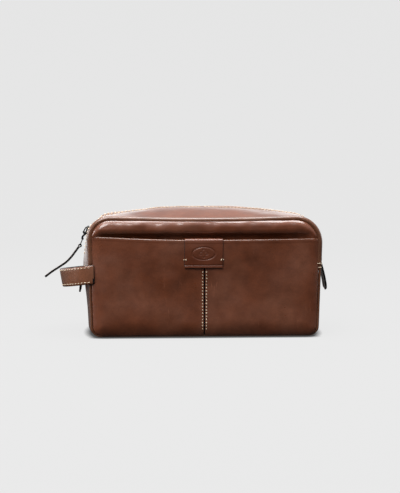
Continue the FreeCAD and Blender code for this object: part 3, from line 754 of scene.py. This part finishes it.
def sharpen_centre(piece):
    """Keep shading even up to the middle of the bag, where two quarters meet."""
    verts = piece.data.vertices
    for line in piece.data.edges:
        if all(abs(verts[i].co.x) < 0.0002 for i in line.vertices):
            line.use_edge_sharp = True


def zip_directions(where, direction):
    """Unit directions along a line beside the zip, and square to it out of the bag."""
    unit = direction / np.linalg.norm(direction, axis=1, keepdims=True)
    outwards = np.cross(unit, [0, 1, 0])
    outwards *= np.sign(np.sum(outwards * outward_of(where), -1))[:, None]
    return unit, outwards


def zip_quarter(depth, side):
    """Leather, lining, tape, coil and stitches of one quarter of the zip gusset."""
    facing = "front" if depth < 0 else "back"
    tag = facing + "_" + ("left" if side < 0 else "right")
    end = "left_end" if side < 0 else "right_end"
    top = "top_" + facing
    start = station_at_height(seam_height(side) - LAP)
    stations = ring_stations(start, TOP_CENTRE)
    edge = ZIP_EDGE / HALF_DEPTH
    v = depth * spread(1.0, edge, 26)
    grid = form(side, stations[:, None], v[None, :])
    groove = 0.45 * np.exp(-((np.abs(v) * HALF_DEPTH - 8.2) / 1.3) ** 2) * -0.6
    lift = 0.5 * smooth(np.abs(v), edge + 0.05, edge) + groove
    grid = grid + grid_outward(grid, outward_of(grid)) * lift[None, :, None]
    piece = sheet("zip_strip_" + tag, grid, LEATHER, [BAG_LEATHER, FLESH, BAG_LEATHER], outward_of(grid))
    sharpen_centre(piece)
    end_gusset = end + "_" + facing + "_gusset"
    hang_on_flap(piece, "bag_leather", depth, side, end_gusset, top + "_gusset")

    grid = form(side, stations[:, None], (depth * spread(0.97, 0.1, 18))[None, :], 3.0)
    piece = sheet("zip_lining_" + tag, grid, 0.5, [LINING] * 3, outward_of(grid))
    sharpen_centre(piece)
    hang_on_flap(piece, "lining_cloth", depth, side, end + "_lining", top + "_lining")

    stations = ring_stations(station_at_height(SEAM_Z + 2), TOP_CENTRE)
    grid = form(side, stations[:, None], (depth * np.linspace(0.27, 0.006, 9))[None, :], 2.2)
    piece = sheet("zip_tape_" + tag, grid, 0.5, [TAPE] * 3, outward_of(grid))
    hang_on_flap(piece, "zip_tape", depth, side, end + "_tape", top + "_tape")

    stations = ring_stations(station_at_height(SEAM_Z + 6), TOP_CENTRE, 1.0)
    coil_line = form(side, stations, depth * 0.028, 1.0)
    where, direction = along_curve(coil_line, 1.5, 0.3)
    shift = 0.375 if depth < 0 else -0.375
    unit, outwards = zip_directions(where, direction)
    places = [(p + u * shift, np.array([0.0, 1.0, 0.0]), n) for p, u, n in zip(where, unit, outwards)]
    piece = seeds("zip_coil_" + tag, places, (2.9, 0.95, 1.7), COIL)
    hang_on_flap(piece, "zip_teeth", depth, side, end + "_coil", top + "_coil")

    line_v = depth * (ZIP_EDGE + 3.6) / HALF_DEPTH
    line = form(side, ring_stations(station_at_height(SEAM_Z + 4), TOP_CENTRE, 1.0), line_v)
    where, direction = along_curve(line, 4.0)
    unit, normals = zip_directions(where, direction)
    places = [(p + n * 0.3, u, n) for p, u, n in zip(where, unit, normals)]
    piece = seeds("zip_stitches_" + tag, places, (2.7, 1.0, 1.3), THREAD, 0.12)
    hang_on_flap(piece, "stitch_thread", depth, side, top + "_stitches", end + "_zip_stitches")


def grid_outward(grid, outward):
    """Unit normals of a grid, turned to look along outward."""
    normals = grid_normals(grid)
    return -normals if np.mean(np.sum(normals * outward, -1)) < 0 else normals


def over_piping(side, z):
    """The end seam's stitches where they wrap over the front and rear piping."""
    radius = piping_radius(z) + 0.1
    half = half_outline(station_at_height(z), 1.0, side)[0] + (PIPE_R - piping_radius(z)) * 0.75
    places = []
    for depth in (-1, 1):
        for turn in np.radians([-14.0, 42.0, 92.0, 142.0]):
            normal = np.array([side * math.cos(turn), depth * math.sin(turn), 0.0])
            along = np.array([-side * math.sin(turn), depth * math.cos(turn), 0.0])
            centre = np.array([side * half, depth * (PIPE_Y + 0.2), z])
            places.append((centre + normal * radius, along, normal))
    return places


def end_seam_stitches(side):
    """The two stitch rows across an end seam, from piping to piping."""
    places = []
    for row in (-2.1, 2.4):
        height = seam_height(side) + row
        places += over_piping(side, height)
        station = station_at_height(height)
        line = form(side, station, np.linspace(-1.02, 1.02, 160))
        where, direction = along_curve(line, 4.0, 0.2)
        for p, d in zip(where, direction):
            behind_tab = side < 0 and abs(p[1]) < 12.6
            if behind_tab:
                continue
            tangent = d / np.linalg.norm(d)
            normal = np.cross(tangent, [0, 0, 1.0])
            normal *= np.sign(normal[0] * side)
            places.append((p + normal * 0.15, tangent, normal))
    name = "left" if side < 0 else "right"
    piece = seeds(name + "_end_seam_thread", places, STITCH, THREAD, 0.1)
    place(piece, "stitch_thread", "bag", name + "_end_seam_stitches")


# ---------------------------------------------------------------- pocket
def mouth_height(x):
    """Height of the pocket's edge: it dips in the middle, and its left end is the higher."""
    rise = np.where(x < 0, 2.4, 0.7)
    return MOUTH_Z - 1.5 + rise * np.clip(np.abs(x) / 95, 0, 1.2) ** 2


def pocket_depth(x, z):
    """How far the pocket's outer face stands out."""
    swell = POCKET_SWELL * roll(edge_distance(x, z), POCKET_REACH)
    gape = POCKET_GAPE * np.clip(1 - (x / 112) ** 2, 0, 1) * smooth(z, 40, MOUTH_Z)
    points = np.stack([x, 0 * x, z], -1)
    ripple = 0.9 * lumps(points, 38, 7.9) + 0.3 * lumps(points, 14, 4.5)
    hem = 0.15 * smooth(z, mouth_height(x) - 3.4, mouth_height(x) - 2.2)
    return PIPE_Y - 0.8 + POCKET_THICK + swell + gape + ripple * roll(edge_distance(x, z), 14) + hem


def pocket_half(end):
    """The pocket's leather from the centre seam to one side of the bag."""
    left, right, height = panel_rows(0.8, -1, 44)
    edge = right if end > 0 else left
    keep = height < MOUTH_Z - 4
    edge = np.concatenate([edge[keep], np.interp(np.linspace(MOUTH_Z - 3.4, MOUTH_Z, 9), height, edge)])
    height = np.concatenate([height[keep], np.linspace(MOUTH_Z - 3.4, MOUTH_Z, 9)])
    q = spread(0, 1, 60, 0.3)
    start = SEAM_X + end * 0.85
    x = start + q[None, :] * (edge[:, None] - start)
    z = height[:, None] + (mouth_height(x) - MOUTH_Z) * smooth(height, 60, MOUTH_Z)[:, None]
    y = -pocket_depth(x, z)
    turned = 0.4 * smooth(z, mouth_height(x) - 5, mouth_height(x) - 3)
    name = "left" if end < 0 else "right"
    grid = np.stack([x, y, z], -1)
    piece = sheet("pocket_" + name + "_leather", grid, POCKET_THICK - 0.2 + turned,
                  [BAG_LEATHER, FLESH, PIPING_LEATHER], (0, -1, 0), 0.42)
    piece.data.materials.append(EDGE)
    # the cut edge along the centre seam gets the black edge paint, which is also painted shade for the dark
    # gap between the two halves
    repaint(piece, 3, lambda face: face.material_index == 2 and abs(face.center.x / MM - SEAM_X) < 1.6)
    place(piece, "bag_leather", "bag", "pocket_" + name)


def pocket_thread():
    """The two stitch rows down the pocket's centre seam."""
    places = []
    for side in (-1, 1):
        z = np.linspace(7.0, TAB_LOW[2] - 1.5, 200)
        x = SEAM_X + side * 2.15 + 0 * z
        line = np.stack([x, -pocket_depth(x, z), z], -1)
        where, direction = along_curve(line, 3.5)
        for p, d in zip(where, direction):
            normal = np.cross(d, [side * 1.0, 0, 0]) * side
            normal *= -np.sign(normal[1])
            normal /= np.linalg.norm(normal)
            places.append((p + normal * 0.15, d, normal))
    piece = seeds("pocket_seam_thread", places, SMALL_STITCH, THREAD, 0.35)
    place(piece, "stitch_thread", "bag", "pocket_seam_stitches")


def tab_mark(x, z):
    """Depth of the pressed mark on the tab: an oval line round a four-petal rosette."""
    u = (x - TAB_X) / 12.5
    w = (z - 93.5) / 7.0
    oval = np.exp(-((np.hypot(u, w) - 1) / 0.075) ** 2)
    dx, dz = (x - TAB_X), (z - 93.5)
    radius = np.hypot(dx, dz)
    petal = 4.6 * np.abs(np.cos(2 * np.arctan2(dz, dx))) ** 0.7
    rosette = np.exp(-((radius - petal) / 0.55) ** 2) * (radius > 0.8)
    return 0.42 * np.maximum(oval, 0.8 * rosette)


def pocket_tab():
    """The tab folded over the pocket's edge, with its pressed mark and side stitches."""
    x = TAB_X + spread(-TAB_HALF, TAB_HALF, 110, 0.1)
    thick = 1.5
    rise = np.linspace(TAB_LOW[2] + 0.2, mouth_height(TAB_X) - 0.2, 96)
    xx, zz = np.meshgrid(x, rise)
    outer = -pocket_depth(xx, zz) - 0.15 - thick - 0.25 * smooth(zz, TAB_LOW[2] + 2.5, TAB_LOW[2])
    crown = 0.35 * (1 - ((xx - TAB_X) / TAB_HALF) ** 4)
    crease = 0.45 * np.exp(-((zz - TAB_LOW[2] - 3.0) / 0.5) ** 2)
    outer = outer - crown + tab_mark(xx, zz) + crease
    front = np.stack([xx, outer, zz], -1)
    base_y = front[-1, :, 1]
    inner_y = -pocket_depth(x, 0 * x + rise[-1]) + POCKET_THICK + 0.9 + 0.1 + thick
    middle_y = (base_y + inner_y) / 2
    reach = (inner_y - base_y) / 2
    turns = np.linspace(math.pi, 0, 14)[1:-1]
    fold = np.stack([
        np.broadcast_to(x, (len(turns), len(x))),
        middle_y[None, :] + reach[None, :] * np.cos(turns)[:, None],
        rise[-1] + 0.75 * reach[None, :] * np.sin(turns)[:, None]], -1)
    drop = np.linspace(rise[-1], rise[-1] - 16, 12)
    back = np.stack([np.broadcast_to(x, (12, len(x))), np.broadcast_to(inner_y, (12, len(x))),
                     np.broadcast_to(drop[:, None], (12, len(x)))], -1)
    grid = np.concatenate([front, fold, back])
    outward = grid - np.array([TAB_X, float(middle_y.mean()), rise[-1] - 30])
    outward[..., 0] = 0
    normals = grid_normals(grid)
    flip = -1 if np.mean(normals[:90, :, 1]) > 0 else 1
    piece = sheet("pocket_tab_leather", grid, thick, [TAB_LEATHER, FLESH, EDGE], normals * flip)
    # the lower edge is folded leather, not a painted cut
    repaint(piece, 0, lambda face: face.material_index == 2 and face.center.z / MM < TAB_LOW[2] + 1.2)
    place(piece, "bag_leather", "bag", "pocket_tab")
    places = []
    for side in (-1, 1):
        at = np.array([TAB_X + side * (TAB_HALF - 1.4), 0.0, 86.6])
        at[1] = float(-pocket_depth(at[0], at[2]) - thick - 0.35)
        places.append((at, np.array([0.25 * side, 0, 1.0]), np.array([0, -1.0, 0])))
        beside = at + [side * 1.9, 1.2, 0]
        places.append((beside, np.array([1.0, 0.6 * side, 0]), np.array([side * 0.4, -1.0, 0])))
    thread_piece = seeds("pocket_tab_thread", places, (2.4, 1.15, 1.0), THREAD)
    place(thread_piece, "stitch_thread", "bag", "pocket_tab_stitches")


# ---------------------------------------------------------------- carrying loop
def even_steps(points, count):
    """The same line with its points evenly spaced."""
    length = distances(points)
    at = np.linspace(0, length[-1], count)
    return np.stack([np.interp(at, length, points[:, k]) for k in range(3)], -1)


def handle():
    """The loop: a flattened U in plan that hangs a little, with its rear half lower."""
    outer_low = node_box("handle_outer")[0]
    end_low, end_high = node_box("front_handle_end")
    turn = np.linspace(-math.pi / 2, math.pi / 2, 161)
    start_x = -(HALF_TOP - 5.6)
    reach = abs(outer_low[0] + 2.4 - start_x)
    half_span = PIPE_Y + FULL_PIPE + 1.2
    power = 2 / 2.4
    x = start_x - reach * np.clip(np.cos(turn), 0, 1) ** power
    y = half_span * np.sign(np.sin(turn)) * np.abs(np.sin(turn)) ** power
    out = (start_x - x) / reach
    middle_z = (end_low[2] + end_high[2]) / 2 + 1.0
    z = middle_z - 4.2 * out - 0.075 * (y + half_span)
    line = np.stack([x, y, z], -1)
    tuck = [[line[0] + [2.4, 3.2, 0]], line, [line[-1] + [2.4, -3.2, 0]]]
    centres = even_steps(np.concatenate(tuck), 125)
    out = np.clip((start_x - centres[:, 0]) / reach, 0, 1)
    tilt = np.radians(2 + 8 * out)
    widths = np.stack([-np.sin(tilt), 0 * tilt, np.cos(tilt)], -1) * 10.0
    layers = (("handle_strap", 0.0, 1.0, ("handle_outer", "front_handle_end", "back_handle_end")),
              ("handle_strap_lining", 1.45, -0.5, ("handle_lining",)))
    tangents = np.gradient(centres, axis=0)
    across = np.cross(tangents, widths)
    across /= np.linalg.norm(across, axis=1, keepdims=True)
    across *= np.sign(across[:, 0].mean()) * -1
    offsets = np.linspace(-1, 1, 15)
    crown = 0.35 * (1 - offsets ** 4)
    for name, depth, bulge, nodes in layers:
        rows = [centres + widths * o - across * (depth - bulge * c) for o, c in zip(offsets, crown)]
        grid = np.stack(rows, 1)
        normals = grid_normals(grid)
        flip = 1 if np.mean(np.sum(normals * across[:, None, :], -1)) > 0 else -1
        piece = sheet(name, grid, 1.4, [STRAP_LEATHER, STRAP_LEATHER, EDGE], normals * flip)
        # painted shadow: from 0.7 mm before the strap's end tucks into the seam, it takes the black edge
        # paint to stand for the dark gap it goes into
        repaint(piece, 2, lambda face: face.center.x / MM > start_x - 0.7)
        bend_loop(piece, "strap_leather", *nodes)
    places = []
    for row in (-0.8, 0.8):
        line = centres + widths * row
        where, direction = along_curve(line[5:-5], 4.0)
        for p, d in zip(where, direction):
            near = int(np.argmin(np.linalg.norm(line - p, axis=1)))
            normal = across[near]
            places.append((p + normal * 0.35, d, normal))
    piece = seeds("handle_thread", places, STITCH, THREAD, 0.1)
    bend_loop(piece, "stitch_thread", "handle_stitches")


def bend_loop(piece, slot, *nodes):
    """Hide the CAD nodes that a piece of the loop stands in for, and bake the piece's transform into its
    mesh.
    """
    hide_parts(*nodes)
    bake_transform(piece)


# ---------------------------------------------------------------- end tabs and pull
def end_tab(side):
    """The leather tab that hangs from an end seam."""
    name = "left" if side < 0 else "right"
    low, high = node_box(name + "_end_tab")
    outer = max(abs(low[0]), abs(high[0]))
    inner = min(abs(low[0]), abs(high[0]))
    t = np.linspace(0, 1, 46)
    w = spread(-1, 1, 25, 0.3)
    length = high[2] - low[2]
    z = high[2] + 0.5 - (length + (0.5 if side > 0 else 1.7)) * t
    x = inner + (3.9 if side > 0 else 2.0) + (outer - inner - 2.6) * (1 - (1 - t) ** 1.5)
    rounding = (np.clip(t - 0.74, 0, 1) / 0.262) ** 2.4
    half_width = np.minimum(11.5, 11.5 * np.sqrt(np.clip(1 - rounding, 0, 1)))
    y = w[None, :] * np.maximum(half_width, 2.2)[:, None]
    cup = 0.5 * (w ** 2)[None, :]
    grid = np.stack([side * (x[:, None] - cup), y, z[:, None] + 0 * y], -1)
    piece = sheet(name + "_tab_leather", grid, 2.0, [STRAP_LEATHER, STRAP_LEATHER, EDGE], (side, 0, 0))
    place(piece, "strap_leather", name + "_tab", name + "_end_tab")


def leather_pull():
    """The strip doubled over the wire link: one sheet out to the tip and back, eye at the top."""
    low = node_box("leather_pull")[0]
    half = 0.6
    points = np.array([[-141.4, 96.2], [-145.6, 90.5], [-149.8, 85.0], [-155.5, 79.3], [-163.4, 73.9],
                       [-172.0, 68.3], [low[0] + 0.9, low[2] + 1.2]])
    line = smooth_line(points, 60)
    tangent = np.gradient(line, axis=0)
    tangent /= np.linalg.norm(tangent, axis=1, keepdims=True)
    normal = np.stack([-tangent[:, 1], tangent[:, 0]], -1)
    outer = line + normal * 2 * half
    inner = line - normal * 2 * half
    first = math.atan2(*(outer[0] - EYE)[::-1])
    last = math.atan2(*(inner[0] - EYE)[::-1])
    if last > first:
        last -= 2 * math.pi
    sweep = first - last
    turns = np.linspace(first, first - sweep, 22)
    if np.cos(turns).mean() * (line[0] - EYE)[0] + np.sin(turns).mean() * (line[0] - EYE)[1] > 0:
        turns = np.linspace(first, first + (2 * math.pi - sweep), 22)
    loop = EYE + 2.1 * np.stack([np.cos(turns), np.sin(turns)], -1)
    path = np.concatenate([outer[::-1][:-1], loop[1:-1], inner[1:]])
    total = len(path)
    tip = np.minimum(np.arange(total), np.arange(total)[::-1])
    width = 4.0 * np.sqrt(np.clip(1 - (1 - np.clip(tip / 4.0, 0, 1)) ** 2 * 0.75, 0, 1))
    w = spread(-1, 1, 13, 0.3)
    grid = np.stack([np.broadcast_to(path[:, :1], (total, 13)), width[:, None] * w[None, :],
                     np.broadcast_to(path[:, 1:], (total, 13))], -1)
    grid[..., 0] -= 0.06 * grid[..., 1]
    grid[..., 2] -= 0.05 * grid[..., 1]
    normals = grid_normals(grid)
    centre = np.array([EYE[0], 0, EYE[1]])
    at_eye = total // 2
    flip = 1 if np.sum(normals[at_eye, 6] * (grid[at_eye, 6] - centre)) > 0 else -1
    piece = sheet("leather_pull_strip", grid, 1.15, [STRAP_LEATHER, FLESH, EDGE], normals * flip, 0.2)
    place(piece, "strap_leather", "leather_pull", "leather_pull")


def catmull(knots, values, at):
    """Smooth interpolation through values, with slopes taken from the neighbours."""
    slopes = np.gradient(values, knots)
    index = np.clip(np.searchsorted(knots, at, side="right") - 1, 0, len(knots) - 2)
    span = knots[index + 1] - knots[index]
    t = (at - knots[index]) / span
    h00 = 2 * t ** 3 - 3 * t ** 2 + 1
    h10 = t ** 3 - 2 * t ** 2 + t
    h01 = -2 * t ** 3 + 3 * t ** 2
    h11 = t ** 3 - t ** 2
    return (h00 * values[index] + h10 * span * slopes[index]
            + h01 * values[index + 1] + h11 * span * slopes[index + 1])


def in_plane(points, y=0.0):
    """Points of the XZ plane placed at a depth."""
    points = np.asarray(points, float)
    return np.stack([points[:, 0], np.full(len(points), float(y)), points[:, 1]], -1)


def round_corners(corners, radius, steps=6):
    """A closed polygon with its corners rounded."""
    out = []
    for i, corner in enumerate(corners):
        before = corners[i - 1] - corner
        after = corners[(i + 1) % len(corners)] - corner
        before = before / np.linalg.norm(before)
        after = after / np.linalg.norm(after)
        for t in np.linspace(0, 1, steps):
            out.append(corner + radius * ((1 - t) ** 2 * before + t ** 2 * after))
    return np.array(out)


def wire_loop(name, top, foot, half_width, wire, look):
    """A closed rounded frame of wire between two bars that lie across the bag."""
    corners = [np.array([p[0], y, p[1]]) for p, y in
               ((top, -half_width), (top, half_width), (foot, half_width), (foot, -half_width))]
    line = round_corners(corners, 1.6)
    ahead = np.roll(line, -1, axis=0) - np.roll(line, 1, axis=0)
    ahead /= np.linalg.norm(ahead, axis=1, keepdims=True)
    fall = np.array([foot[0] - top[0], 0, foot[1] - top[1]])
    flat = np.cross(fall / np.linalg.norm(fall), [0, 1.0, 0])
    up = np.tile(flat, (len(line), 1))
    return tube(name, line, np.cross(ahead, up), up, np.full(len(line), wire), look, 10)


def slider():
    """The zip slider: plates over and under the chain, a nose between them, and the pull's bridge."""
    pieces = []
    turns = np.radians(np.linspace(2.4, 23.2, 24))
    w = spread(-1, 1, 15, 0.5)
    t = np.linspace(-1, 1, len(turns))
    half = 4.4 * (1 - 0.22 * smooth(t, 0.2, 1.0) - 0.1 * smooth(-t, 0.5, 1.0))
    for name, radius, crown in (("slider_top_plate", 29.3, 0.5), ("slider_under_plate", 24.0, 0.0)):
        r = radius + crown * (1 - t[:, None] ** 4) * (1 - w[None, :] ** 4)
        grid = np.stack([SLIDER_CENTRE[0] - r * np.cos(turns)[:, None], half[:, None] * w[None, :],
                         SLIDER_CENTRE[1] + r * np.sin(turns)[:, None]], -1)
        pieces.append(sheet(name, grid, 1.2, [METAL] * 3, (-1, 0, 0.2), 0.45))
    nose = np.radians(np.linspace(16.5, 22.0, 8))
    grid = np.stack([
        SLIDER_CENTRE[0] - 28.6 * np.cos(nose)[:, None] + 0 * w[None, :],
        0.8 * w[None, :] + 0 * nose[:, None],
        SLIDER_CENTRE[1] + 28.6 * np.sin(nose)[:, None] + 0 * w[None, :]], -1)
    pieces.append(sheet("slider_nose", grid, 5.2, [METAL] * 3, (-1, 0, 0.2), 0.1))
    rooted = [SLIDER_CENTRE + 29.0 * np.array([-math.cos(a), math.sin(a)]) for a in np.radians([20.5, 3.5])]
    line = np.array([rooted[0], rooted[0] + [-1.4, -0.4], PIVOT + [0.3, 1.6], PIVOT + [-0.8, -0.1],
                     PIVOT + [0.2, -1.7], rooted[1] + [-1.2, 0.2], rooted[1]])
    line = in_plane(smooth_line(line, 30))
    ahead = np.gradient(line, axis=0)
    ahead /= np.linalg.norm(ahead, axis=1, keepdims=True)
    up = np.tile([0.0, 1.0, 0.0], (len(line), 1))
    radii = np.full(len(line), 0.65)
    pieces.append(tube("slider_bridge", line, np.cross(ahead, up), up * 1.5, radii, METAL, 10, False))
    for piece in pieces:
        place(piece, "black_metal", "slider", "slider_body")


def pull_plate():
    """A plate hung on the slider's bridge that curls round the link at its foot."""
    bar = in_plane([PIVOT + [0.35, 0.1]] * 9)
    bar[:, 1] = np.linspace(-3.3, 3.3, 9)
    square = (np.tile([1.0, 0, 0], (9, 1)), np.tile([0, 0, 1.0], (9, 1)))
    rod = tube("pull_plate_bar", bar, square[0], square[1], np.full(9, 0.62), METAL, 12, False)
    profile = np.array([
        PIVOT + [0.9, 0.4], PIVOT + [-0.2, -2.2], KNUCKLE + [-0.9, 3.0], KNUCKLE + [-1.35, 1.0],
        KNUCKLE + [-1.1, -0.6], KNUCKLE + [-0.1, -1.35], KNUCKLE + [1.0, -0.9]])
    line = smooth_line(profile, 34)
    leaves = []
    parts = (("front_arm", 0, -3.4, -1.9), ("back_arm", 0, 1.9, 3.4), ("leaf", 9, -3.4, 3.4))
    for name, first, low, high in parts:
        last = 11 if first == 0 else len(line)
        rows = line[first:last]
        w = np.linspace(low, high, 5 if first == 0 else 9)
        grid = np.stack([in_plane(rows, y) for y in w], 1)
        leaves.append(sheet("pull_plate_" + name, grid, 2.1, [METAL] * 3, (-1, 0, 0), 0.35))
    for piece in [rod] + leaves:
        place(piece, "black_metal", "pull_plate", "pull_plate")


def pull_link():
    """The wire link between the pull plate and the leather pull."""
    piece = wire_loop("pull_link_wire", KNUCKLE + [0.1, 0.2], EYE, 4.9, 0.5, METAL)
    place(piece, "black_metal", "pull_link", "pull_link")


def dress_cad_nodes():
    """Materials for the rigid CAD nodes that stay as they are."""
    looks = {"left_zip_stop": METAL, "right_zip_stop": METAL, "base_board": BOARD}
    for name, look in looks.items():
        obj = frame["nodes"][name]
        obj.data.materials.clear()
        obj.data.materials.append(look)


# ---------------------------------------------------------------- stage, light and camera
def stage():
    """A pale glowing floor that sweeps up into a backdrop, with a painted contact shadow: its glow is
    dimmed by ambient occlusion near the bag.
    """
    material, tree, shader = new_material("stage_look")
    shader.inputs["Base Color"].default_value = (0.02, 0.02, 0.02, 1)
    shader.inputs["Specular IOR Level"].default_value = 0.0
    shader.inputs["Emission Color"].default_value = (1, 1, 1, 1)
    # painted contact shadow: ambient occlusion lowers the floor's glow where the bag sits close to it
    shade = node(tree, "ShaderNodeAmbientOcclusion", Distance=0.009)
    glow_with_painted_shadow = grey(tree, shade.outputs["AO"], 0.08, 0.775, 0.38, 0.97)
    tree.links.new(glow_with_painted_shadow, shader.inputs["Emission Strength"])
    turns = np.linspace(0, math.pi / 2, 16)
    profile = [(-4000, 0), (1500, 0)]
    profile += [(1500 + 1200 * math.sin(t), 1200 - 1200 * math.cos(t)) for t in turns[1:]]
    profile += [(2700, 4000)]
    xs = (-5000, 5000)
    verts = [(x, y, z) for y, z in profile for x in xs]
    faces = [[2 * i, 2 * i + 1, 2 * i + 3, 2 * i + 2] for i in range(len(profile) - 1)]
    floor = make_object("stage_floor", verts, faces, [material])
    floor.visible_diffuse = False
    floor.visible_glossy = False


def area_light(name, place, aim, size, power):
    """A rectangular soft light at a place, aimed at a point."""
    data = bpy.data.lights.new(name, "AREA")
    data.shape = "RECTANGLE"
    data.size, data.size_y = size
    data.energy = power
    obj = bpy.data.objects.new(name, data)
    obj.location = place
    obj.rotation_euler = (Vector(aim) - Vector(place)).to_track_quat("-Z", "Y").to_euler()
    bpy.context.scene.collection.objects.link(obj)
    return obj


def world():
    """Soft surroundings: bright above, dimmer at eye level and dark below."""
    scene_world = bpy.data.worlds.new("surroundings")
    scene_world.use_nodes = True
    tree = scene_world.node_tree
    background = tree.nodes["Background"]
    coords = tree.nodes.new("ShaderNodeTexCoord").outputs["Generated"]
    parts = tree.nodes.new("ShaderNodeSeparateXYZ")
    tree.links.new(coords, parts.inputs[0])
    rise = grey(tree, parts.outputs["Z"], 0, 1, -1.0, 1.0)
    above = ramp(tree, rise, [(0.40, (0.05, 0.048, 0.046)), (0.52, (0.10, 0.098, 0.095)),
                              (0.8, (0.55, 0.55, 0.55))])
    behind = grey(tree, parts.outputs["Y"], 0, 1, -0.45, 0.25)
    low_down = ramp(tree, rise, [(0.44, (0, 0, 0)), (0.51, (1, 1, 1)), (0.60, (0.7, 0.7, 0.7)),
                                 (0.74, (0, 0, 0))])
    backdrop = mix(tree, 1.0, low_down, behind, "MULTIPLY")
    brighter = node(tree, "ShaderNodeVectorMath", operation="SCALE")
    brighter.inputs["Scale"].default_value = 1.6
    tree.links.new(backdrop, brighter.inputs[0])
    backdrop = brighter.outputs[0]
    colour = mix(tree, 1.0, above, backdrop, "ADD")
    tree.links.new(colour, background.inputs["Color"])
    background.inputs["Strength"].default_value = 1.0
    bpy.context.scene.world = scene_world


CAMERA_TURN = -3.0
CAMERA_RISE = 4.0
CAMERA_DISTANCE = 1.4
CAMERA_LENS = 89.3


def camera():
    """The photograph's viewing angle."""
    turn, rise = math.radians(CAMERA_TURN), math.radians(CAMERA_RISE)
    aim = Vector((-0.0028, 0.0, 0.0964))
    away = Vector((math.sin(turn) * math.cos(rise), -math.cos(turn) * math.cos(rise), math.sin(rise)))
    data = bpy.data.cameras.new("view")
    data.lens = CAMERA_LENS
    data.sensor_width = 36.0
    data.clip_end = 50.0
    obj = bpy.data.objects.new("view", data)
    obj.location = aim + away * CAMERA_DISTANCE
    obj.rotation_euler = (-away).to_track_quat("-Z", "Y").to_euler()
    bpy.context.scene.collection.objects.link(obj)
    bpy.context.scene.camera = obj


def main():
    """Build every piece, then the stage, the lights and the camera."""
    for word, side in (("front", -1), ("back", 1)):
        panel(word + "_panel_leather", side, word + "_panel")
        panel_lining(word + "_lining_cloth", side, word + "_lining")
        piping(word + "_piping_roll", side, word + "_piping")
    lower_gusset()
    for depth in (-1, 1):
        for side in (-1, 1):
            zip_quarter(depth, side)
    for side in (-1, 1):
        end_seam_stitches(side)
        pocket_half(side)
        end_tab(side)
    pocket_thread()
    pocket_tab()
    handle()
    leather_pull()
    slider()
    pull_plate()
    pull_link()
    dress_cad_nodes()
    stage()
    world()
    area_light("top_softbox", (0.0, -0.10, 1.45), (0, 0, 0.1), (1.4, 0.7), 34)
    area_light("front_fill", (-0.75, -1.7, 1.75), (0, 0, 0.06), (1.2, 0.9), 36)
    area_light("end_strip", (-1.5, -0.3, 0.4), (-0.15, 0, 0.08), (0.5, 0.6), 7)
    bpy.context.scene.view_settings.view_transform = "Standard"
    camera()


main()
